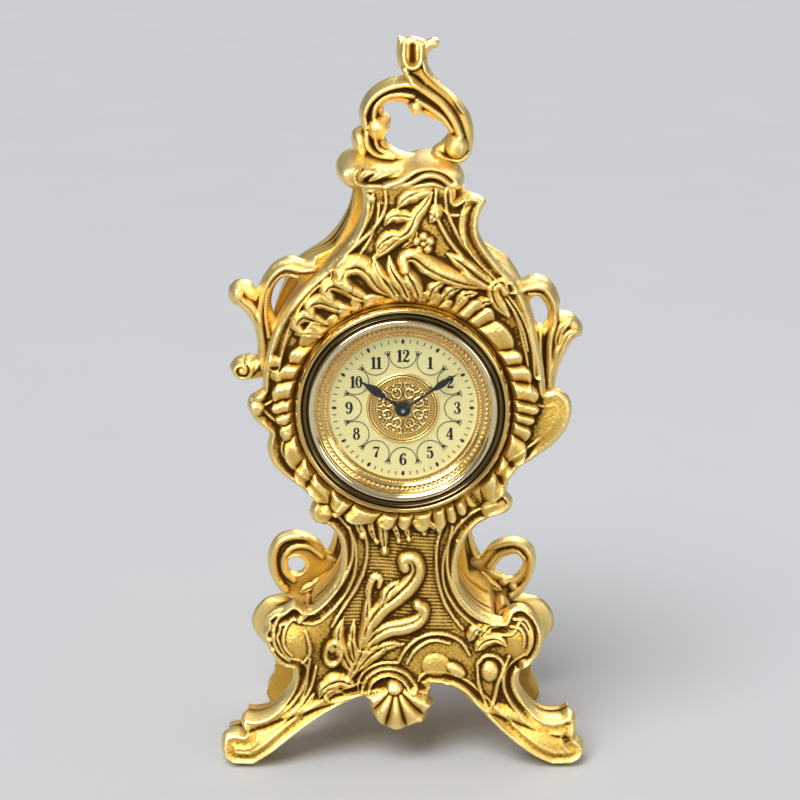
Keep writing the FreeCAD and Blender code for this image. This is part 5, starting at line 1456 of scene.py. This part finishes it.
def swagShape(tree, gin):
    arc = tree.nodes.new("GeometryNodeCurveArc")
    arc.inputs["Resolution"].default_value = 22
    arc.inputs["Start Angle"].default_value = math.radians(-90 - 108)
    arc.inputs["Sweep Angle"].default_value = math.radians(216)
    tree.links.new(math2(tree, "MULTIPLY", gin.outputs["Radius"], 0.246), arc.inputs["Radius"])
    upright = tree.nodes.new("GeometryNodeTransform")
    upright.inputs["Rotation"].default_value = (math.pi / 2, 0, 0)
    tree.links.new(arc.outputs[0], upright.inputs[0])
    edge = tree.nodes.new("GeometryNodeCurvePrimitiveCircle")
    edge.inputs["Resolution"].default_value = 5
    tree.links.new(gin.outputs["Size"], edge.inputs["Radius"])
    solid = tree.nodes.new("GeometryNodeCurveToMesh")
    solid.inputs["Fill Caps"].default_value = True
    tree.links.new(upright.outputs[0], solid.inputs[0])
    tree.links.new(edge.outputs[0], solid.inputs[1])
    return solid.outputs[0]


# three short bars that fan out from the end of the swags
def forkShape(tree, gin):
    join = tree.nodes.new("GeometryNodeJoinGeometry")
    for lean in (-0.75, 0.0, 0.75):
        bar = barShape(tree, gin, 0.2, 0.08, 1.0)
        lift = tree.nodes.new("ShaderNodeCombineXYZ")
        tree.links.new(math2(tree, "MULTIPLY", gin.outputs["Size"], 0.5), lift.inputs[2])
        up = tree.nodes.new("GeometryNodeTransform")
        tree.links.new(bar, up.inputs[0])
        tree.links.new(lift.outputs[0], up.inputs["Translation"])
        tilt = tree.nodes.new("GeometryNodeTransform")
        tilt.inputs["Rotation"].default_value = (0, lean, 0)
        tree.links.new(up.outputs[0], tilt.inputs[0])
        tree.links.new(tilt.outputs[0], join.inputs[0])
    return join.outputs[0]


# run a tree with its sizes and return the result as a plain mesh object
def ringPiece(name, tree, count, radius, depth, size, startTurn):
    holder = bpy.data.objects.new(name + "Maker", bpy.data.meshes.new(name + "Maker"))
    bpy.context.collection.objects.link(holder)
    change = holder.modifiers.new("ring", "NODES")
    change.node_group = tree
    values = {"Count": count, "Radius": radius * mm, "Depth": depth * mm, "Size": size * mm,
              "StartTurn": math.radians(startTurn), "AxisHeight": dialZ * mm}
    for item in tree.interface.items_tree:
        if item.in_out == "INPUT" and item.name in values:
            change[item.identifier] = values[item.name]
    bpy.context.view_layer.update()
    seen = holder.evaluated_get(bpy.context.evaluated_depsgraph_get())
    me = bpy.data.meshes.new_from_object(seen)
    holder.modifiers.clear()
    bpy.data.objects.remove(holder)
    obj = bpy.data.objects.new(name, me)
    bpy.context.collection.objects.link(obj)
    return obj


beadTree = ringTree("beadRing", beadShape, dialGilt)
inkBeadTree = ringTree("inkBeads", beadShape, dialInk)
tickTree = ringTree("tickRing", barShape, dialInk)
lozengeTree = ringTree("lozengeRing", lozengeShape, dialInk)
forkTree = ringTree("forkRing", forkShape, dialInk)
swagTree = ringTree("swagRing", swagShape, dialInk)

markY = -22.25  # printed marks stand in the face of the dial
# rings: tree, slot, count, radius, depth, size, turn of the first in degrees
dialRings = {
    "outerBeads": (beadTree, "polished_brass", 104, 33.4, -24.75, 0.86, 0),
    "innerBeads": (beadTree, "polished_brass", 150, 30.9, -23.7, 0.55, 0),
    "minuteTicks": (tickTree, "black_paint", 60, 27.5, markY, 1.5, 0),
    "hourMarks": (lozengeTree, "black_paint", 12, 27.4, markY, 1.15, 0),
    "swags": (swagTree, "black_paint", 12, 21.9, markY, 0.17, 0),
    "tips": (forkTree, "black_paint", 12, 22.6, markY, 1.7, 15),
    "tipDots": (inkBeadTree, "black_paint", 12, 22.4, markY, 0.24, 15)}
for name, (tree, slotName, *sizes) in dialRings.items():
    piece = ringPiece(name, tree, *sizes)
    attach(piece, "root")
print("dial rings ready")

# numerals: strokes of varying width as (x, y, width), one unit high
numeralShapes = {
    "0": [("oval", 0.28, 0.5, 0.19, 0.47, 0.15, 0.05)],
    "1": [("line", [(0.30, 0.0, 0.17), (0.30, 0.5, 0.17), (0.30, 1.0, 0.17)]),
          ("line", [(0.34, 0.98, 0.05), (0.22, 0.87, 0.06), (0.10, 0.82, 0.04)]),
          ("line", [(0.08, 0.025, 0.05), (0.52, 0.025, 0.05)])],
    "2": [("dot", 0.14, 0.74, 0.085),
          ("line", [(0.07, 0.77, 0.04), (0.13, 0.93, 0.05), (0.28, 0.98, 0.06), (0.43, 0.90, 0.13),
                    (0.47, 0.73, 0.16), (0.38, 0.50, 0.13), (0.20, 0.26, 0.07), (0.07, 0.05, 0.05)]),
          ("line", [(0.07, 0.06, 0.08), (0.28, 0.08, 0.14), (0.45, 0.06, 0.12), (0.53, 0.14, 0.05),
                    (0.55, 0.26, 0.03)])],
    "3": [("dot", 0.13, 0.80, 0.075), ("dot", 0.12, 0.21, 0.08),
          ("line", [(0.08, 0.84, 0.04), (0.16, 0.96, 0.05), (0.28, 0.98, 0.05), (0.41, 0.90, 0.13),
                    (0.44, 0.77, 0.15), (0.38, 0.60, 0.09), (0.22, 0.53, 0.04)]),
          ("line", [(0.22, 0.53, 0.04), (0.40, 0.46, 0.10), (0.48, 0.28, 0.16), (0.43, 0.09, 0.12),
                    (0.28, 0.02, 0.05), (0.14, 0.05, 0.05), (0.06, 0.17, 0.04)])],
    "4": [("line", [(0.38, 0.98, 0.06), (0.04, 0.30, 0.05)]),
          ("line", [(0.02, 0.29, 0.06), (0.56, 0.29, 0.06)]),
          ("line", [(0.40, 1.0, 0.15), (0.40, 0.0, 0.15)]),
          ("line", [(0.22, 0.025, 0.05), (0.58, 0.025, 0.05)])],
    "5": [("dot", 0.12, 0.20, 0.08),
          ("line", [(0.11, 0.92, 0.12), (0.28, 0.90, 0.13), (0.46, 0.97, 0.05)]),
          ("line", [(0.11, 0.98, 0.04), (0.11, 0.53, 0.04)]),
          ("line", [(0.11, 0.53, 0.04), (0.26, 0.62, 0.06), (0.41, 0.55, 0.13), (0.48, 0.33, 0.16),
                    (0.42, 0.10, 0.12), (0.27, 0.02, 0.05), (0.13, 0.05, 0.05), (0.06, 0.16, 0.04)])],
    "6": [("dot", 0.45, 0.83, 0.075),
          ("line", [(0.50, 0.88, 0.04), (0.40, 0.98, 0.05), (0.23, 0.92, 0.09), (0.11, 0.68, 0.15),
                    (0.09, 0.38, 0.17), (0.14, 0.12, 0.11), (0.28, 0.02, 0.05), (0.43, 0.11, 0.11),
                    (0.48, 0.30, 0.15), (0.42, 0.50, 0.10), (0.28, 0.56, 0.04), (0.16, 0.48, 0.04)])],
    "7": [("line", [(0.04, 0.74, 0.03), (0.07, 0.92, 0.05), (0.20, 0.91, 0.13), (0.36, 0.90, 0.11),
                    (0.52, 0.98, 0.04)]),
          ("line", [(0.52, 0.96, 0.04), (0.40, 0.62, 0.07), (0.29, 0.34, 0.14), (0.25, 0.08, 0.18)])],
    "8": [("oval", 0.28, 0.76, 0.16, 0.21, 0.13, 0.05), ("oval", 0.28, 0.27, 0.20, 0.25, 0.14, 0.05)]}
numeralPlan = {"height": 4.9, "circle": 21.5, "thick": 0.08, "advance": 0.60, "advanceOne": 0.44, "gap": 0.04,
               "fuller": 1.22, "floor": 0.012, "ovalFuller": 1.2, "ovalFloor": 0.02}


# closed outlines of one stroke; an oval gives an outer and an inner one
def strokeOutlines(shape):
    plan = numeralPlan
    kind = shape[0]
    if kind == "dot":
        x, z, radius = shape[1], shape[2], shape[3]
        a = np.linspace(0, 2 * np.pi, 18, endpoint=False)
        return [np.stack([x + radius * np.cos(a), z + radius * np.sin(a)], 1)]
    if kind == "oval":
        x, z, rx, rz, thick, thin = shape[1:]
        a = np.linspace(0, 2 * np.pi, 40, endpoint=False)
        w = plan["ovalFloor"] + plan["ovalFuller"] * (thin + (thick - thin) * np.abs(np.cos(a)) ** 1.4)
        inner = np.stack([x + (rx - w / 2) * np.cos(a), z + (rz - w / 2) * np.sin(a)], 1)
        outer = np.stack([x + (rx + w / 2) * np.cos(a), z + (rz + w / 2) * np.sin(a)], 1)
        return [(outer, inner)]
    path = catmull(shape[1], 7)
    d = np.gradient(path[:, :2], axis=0)
    side = unit(np.stack([-d[:, 1], d[:, 0]], 1))
    half = path[:, 2:3] / 2 * plan["fuller"] + plan["floor"]
    return [np.vstack([path[:, :2] - side * half, (path[:, :2] + side * half)[::-1]])]


# thin closed plates from flat outlines, facing -Y
def plates(name, outlines, y0, y1):
    verts, faces = [], []
    for outline in outlines:
        base = len(verts)
        if isinstance(outline, tuple):
            outer, inner = outline
            n = len(outer)
            for loop, y in ((outer, y0), (inner, y0), (outer, y1), (inner, y1)):
                verts += [(x, y, z) for x, z in loop]
            for k in range(n):
                m = (k + 1) % n
                o, i, oo, ii = base, base + n, base + 2 * n, base + 3 * n
                faces += [(o + k, o + m, i + m, i + k), (oo + m, oo + k, ii + k, ii + m),
                          (o + m, o + k, oo + k, oo + m), (i + k, i + m, ii + m, ii + k)]
            continue
        n = len(outline)
        if signedArea(outline) < 0:
            outline = outline[::-1]
        for y in (y0, y1):
            verts += [(x, y, z) for x, z in outline]
        for k in range(n // 2 - 1):
            quad = (base + k, base + k + 1, base + n - 2 - k, base + n - 1 - k)
            faces.append(quad)
            faces.append(tuple(v + n for v in reversed(quad)))
        for k in range(n):
            m = (k + 1) % n
            faces.append((base + m, base + k, base + n + k, base + n + m))
    return newMesh(name, verts, faces, smooth=False)


# one digit moved to its place; a nine is a six turned over
def digitOutlines(digit, x0, z0, at):
    height = numeralPlan["height"]
    outlines = []
    for shape in numeralShapes["6" if digit == "9" else digit]:
        for outline in strokeOutlines(shape):
            moved = []
            for loop in outline if isinstance(outline, tuple) else (outline,):
                if digit == "9":
                    loop = np.array([0.56, 1.0]) - loop
                moved.append(np.stack([x0 + (at + loop[:, 0]) * height, z0 + loop[:, 1] * height], 1))
            outlines.append(tuple(moved) if len(moved) > 1 else moved[0])
    return outlines


# upright hour numerals centred on a circle
def numerals():
    plan = numeralPlan
    outlines = []
    for hour in range(1, 13):
        digits = str(hour)
        narrow = [digit == "1" and len(digits) > 1 for digit in digits]
        advance = [plan["advanceOne"] if close else plan["advance"] for close in narrow]
        width = sum(advance) - plan["gap"]
        a = math.radians(30 * hour)
        x0 = plan["circle"] * math.sin(a) - width * plan["height"] / 2
        z0 = dialZ + plan["circle"] * math.cos(a) - plan["height"] / 2
        at = 0.0
        for digit, close, step in zip(digits, narrow, advance):
            outlines += digitOutlines(digit, x0, z0, at - 0.06 if close else at)
            at += step
    return plates("numerals", outlines, dialY - plan["thick"], dialY - 0.01)


finishPiece(numerals(), "root", dialInk)

rosette = {"front": -22.72, "outer": 14.7, "inner": 3.3, "petals": 8}
# one side of a petal and its outer curl: points, half width, rise
rosetteStrokes = [([(0, 4.4), (1.5, 5.6), (1.7, 7.4), (0.6, 8.6), (0, 7.6)], 0.34, 0.42),
                  ([(1.4, 7.6), (2.6, 8.4), (3.3, 9.6), (2.4, 10.2)], 0.28, 0.36)]


# points turned about the hands' axis
def turned(points, a):
    return [(x * math.cos(a) + z * math.sin(a), dialZ - x * math.sin(a) + z * math.cos(a)) for x, z in points]


# embossed disc in the middle of the dial: rings, a milled border and petals
def rosetteShape(r):
    x, z = r.p[:, 0], r.p[:, 1] - dialZ
    away = np.hypot(x, z)
    for radius, half, rise in ((14.1, 0.55, 0.34), (13.0, 0.4, 0.34), (10.6, 0.3, 0.25)):
        r.h += rise * bell((away - radius) / half)
    r.h += 0.10 * np.abs(np.sin(np.arctan2(x, z) * 36)) * (away > 10.9) * (away < 12.7)
    for k in range(rosette["petals"]):
        a = math.radians(360 / rosette["petals"] * (k + 0.5))
        for points, half, rise in rosetteStrokes:
            for side in (1, -1):
                r.ridge(turned([(side * px, pz) for px, pz in points], a), half, rise)
        r.boss(*turned([(0, 9.9)], a)[0], 0.55, 0.55, 0.42)


rosetteLoops = [circleLoop(0, dialZ, rosette["outer"], 0.35), circleLoop(0, dialZ, rosette["inner"], 0.3)]
dialRosette = plaque("dialRosette", rosetteLoops, rosette["front"], dialY + 0.2, rosetteShape, 0.26, 0.4, 0.0)
# strong brown patina and painted shade in the rosette's hollows, painted highlight on its ridges
markCavity(dialRosette, values={"fine": 2, "broad": 14, "fineGain": 12, "broadGain": 6})
rosetteGilt = giltMaterial("rosetteGilt", 1.2, 0.15, 0.26)
finishPiece(dialRosette, "root", rosetteGilt, ["dial_centre"])
print("dial ready")


# floor, lights and camera; places in metres
studio = {"floor": (0.60, 0.61, 0.63, 1), "floorHalf": 40.0, "floorDrop": 0.0003, "world": 0.55,
          "sky": (0.80, 0.81, 0.83, 1), "horizon": (0.16, 0.16, 0.17, 1), "overhead": (0.8, 0.8, 0.8, 1),
          "sun": 2.3, "sunAngle": 40, "sunWay": (0.35, 0.55, -1.0), "lampAim": (0, 0, 0.15),
          "lens": 99.0, "distance": 0.9, "tilt": 17.0, "aimHeight": 0.145, "shiftX": -0.00375,
          "shiftY": 0.00125}
# lamps: place, size, power, tint
lamps = {"keyLight": ((-0.55, -0.75, 0.85), 0.45, 9.0, (1, 0.98, 0.95)),
         "fillLight": ((0.8, -0.7, 0.45), 0.5, 3.6, (1, 1, 1)),
         "rimLight": ((0.25, 0.6, 0.8), 0.4, 5.0, (1, 0.98, 0.95))}


def floorMaterial():
    material, t, bsdf = newMaterial("paperFloor")
    noise = surfaceNoise(t, Scale=9.0, Detail=3.0)
    greyer = (0.57, 0.58, 0.60, 1)
    t.links.new(mixColour(t, noise.outputs["Fac"], studio["floor"], greyer), bsdf.inputs["Base Color"])
    bsdf.inputs["Roughness"].default_value = 0.75
    return material


# wide flat floor just under the feet
def makeFloor():
    half, drop = studio["floorHalf"] / mm, studio["floorDrop"] / mm
    corners = [(-half, -half, -drop), (half, -half, -drop), (half, half, -drop), (-half, half, -drop)]
    floor = newMesh("studioFloor", corners, [(0, 1, 2, 3)], smooth=False)
    floor.data.materials.append(floorMaterial())


# even pale world; what shines sees a darker horizon
def makeWorld():
    world = bpy.data.worlds.new("studioWorld")
    bpy.context.scene.world = world
    world.use_nodes = True
    t = world.node_tree
    back = t.nodes["Background"]
    coord = node(t, "ShaderNodeTexCoord")
    parts = node(t, "ShaderNodeSeparateXYZ")
    t.links.new(coord.outputs["Generated"], parts.inputs[0])
    ramp = node(t, "ShaderNodeValToRGB")
    ramp.color_ramp.elements[0].position = 0.50
    ramp.color_ramp.elements[0].color = studio["horizon"]
    ramp.color_ramp.elements[1].position = 0.80
    ramp.color_ramp.elements[1].color = studio["overhead"]
    t.links.new(math2(t, "ADD", math2(t, "MULTIPLY", parts.outputs["Z"], 0.5), 0.5), ramp.inputs["Fac"])
    path = node(t, "ShaderNodeLightPath")
    seen = mixColour(t, path.outputs["Is Glossy Ray"], studio["sky"], ramp.outputs["Color"])
    t.links.new(seen, back.inputs["Color"])
    back.inputs["Strength"].default_value = studio["world"]


# direction in which a lamp or the camera looks
def looking(way):
    return Vector(way).to_track_quat("-Z", "Y").to_euler()


# soft lamps that only shine in what reflects, and a broad sun
def makeLights():
    for name, (place, size, power, tint) in lamps.items():
        data = bpy.data.lights.new(name, "AREA")
        data.size = size
        data.energy = power
        data.color = tint
        lamp = bpy.data.objects.new(name, data)
        bpy.context.collection.objects.link(lamp)
        lamp.location = place
        lamp.rotation_euler = looking(Vector(studio["lampAim"]) - Vector(place))
        lamp.visible_diffuse = False
    data = bpy.data.lights.new("sunLight", "SUN")
    data.energy = studio["sun"]
    data.angle = math.radians(studio["sunAngle"])
    sun = bpy.data.objects.new("sunLight", data)
    bpy.context.collection.objects.link(sun)
    sun.rotation_euler = looking(studio["sunWay"])


def makeCamera():
    data = bpy.data.cameras.new("viewCamera")
    data.lens = studio["lens"]
    data.sensor_width = 36
    data.shift_x = studio["shiftX"]
    data.shift_y = studio["shiftY"]
    data.dof.use_dof = False
    camera = bpy.data.objects.new("viewCamera", data)
    bpy.context.collection.objects.link(camera)
    tilt = math.radians(studio["tilt"])
    aim = Vector((0, 0, studio["aimHeight"]))
    camera.location = aim + Vector((0, -math.cos(tilt), math.sin(tilt))) * studio["distance"]
    camera.rotation_euler = looking(aim - camera.location)
    bpy.context.scene.camera = camera
    bpy.context.scene.view_settings.view_transform = "Standard"


makeFloor()
makeWorld()
makeLights()
makeCamera()
print("studio ready")
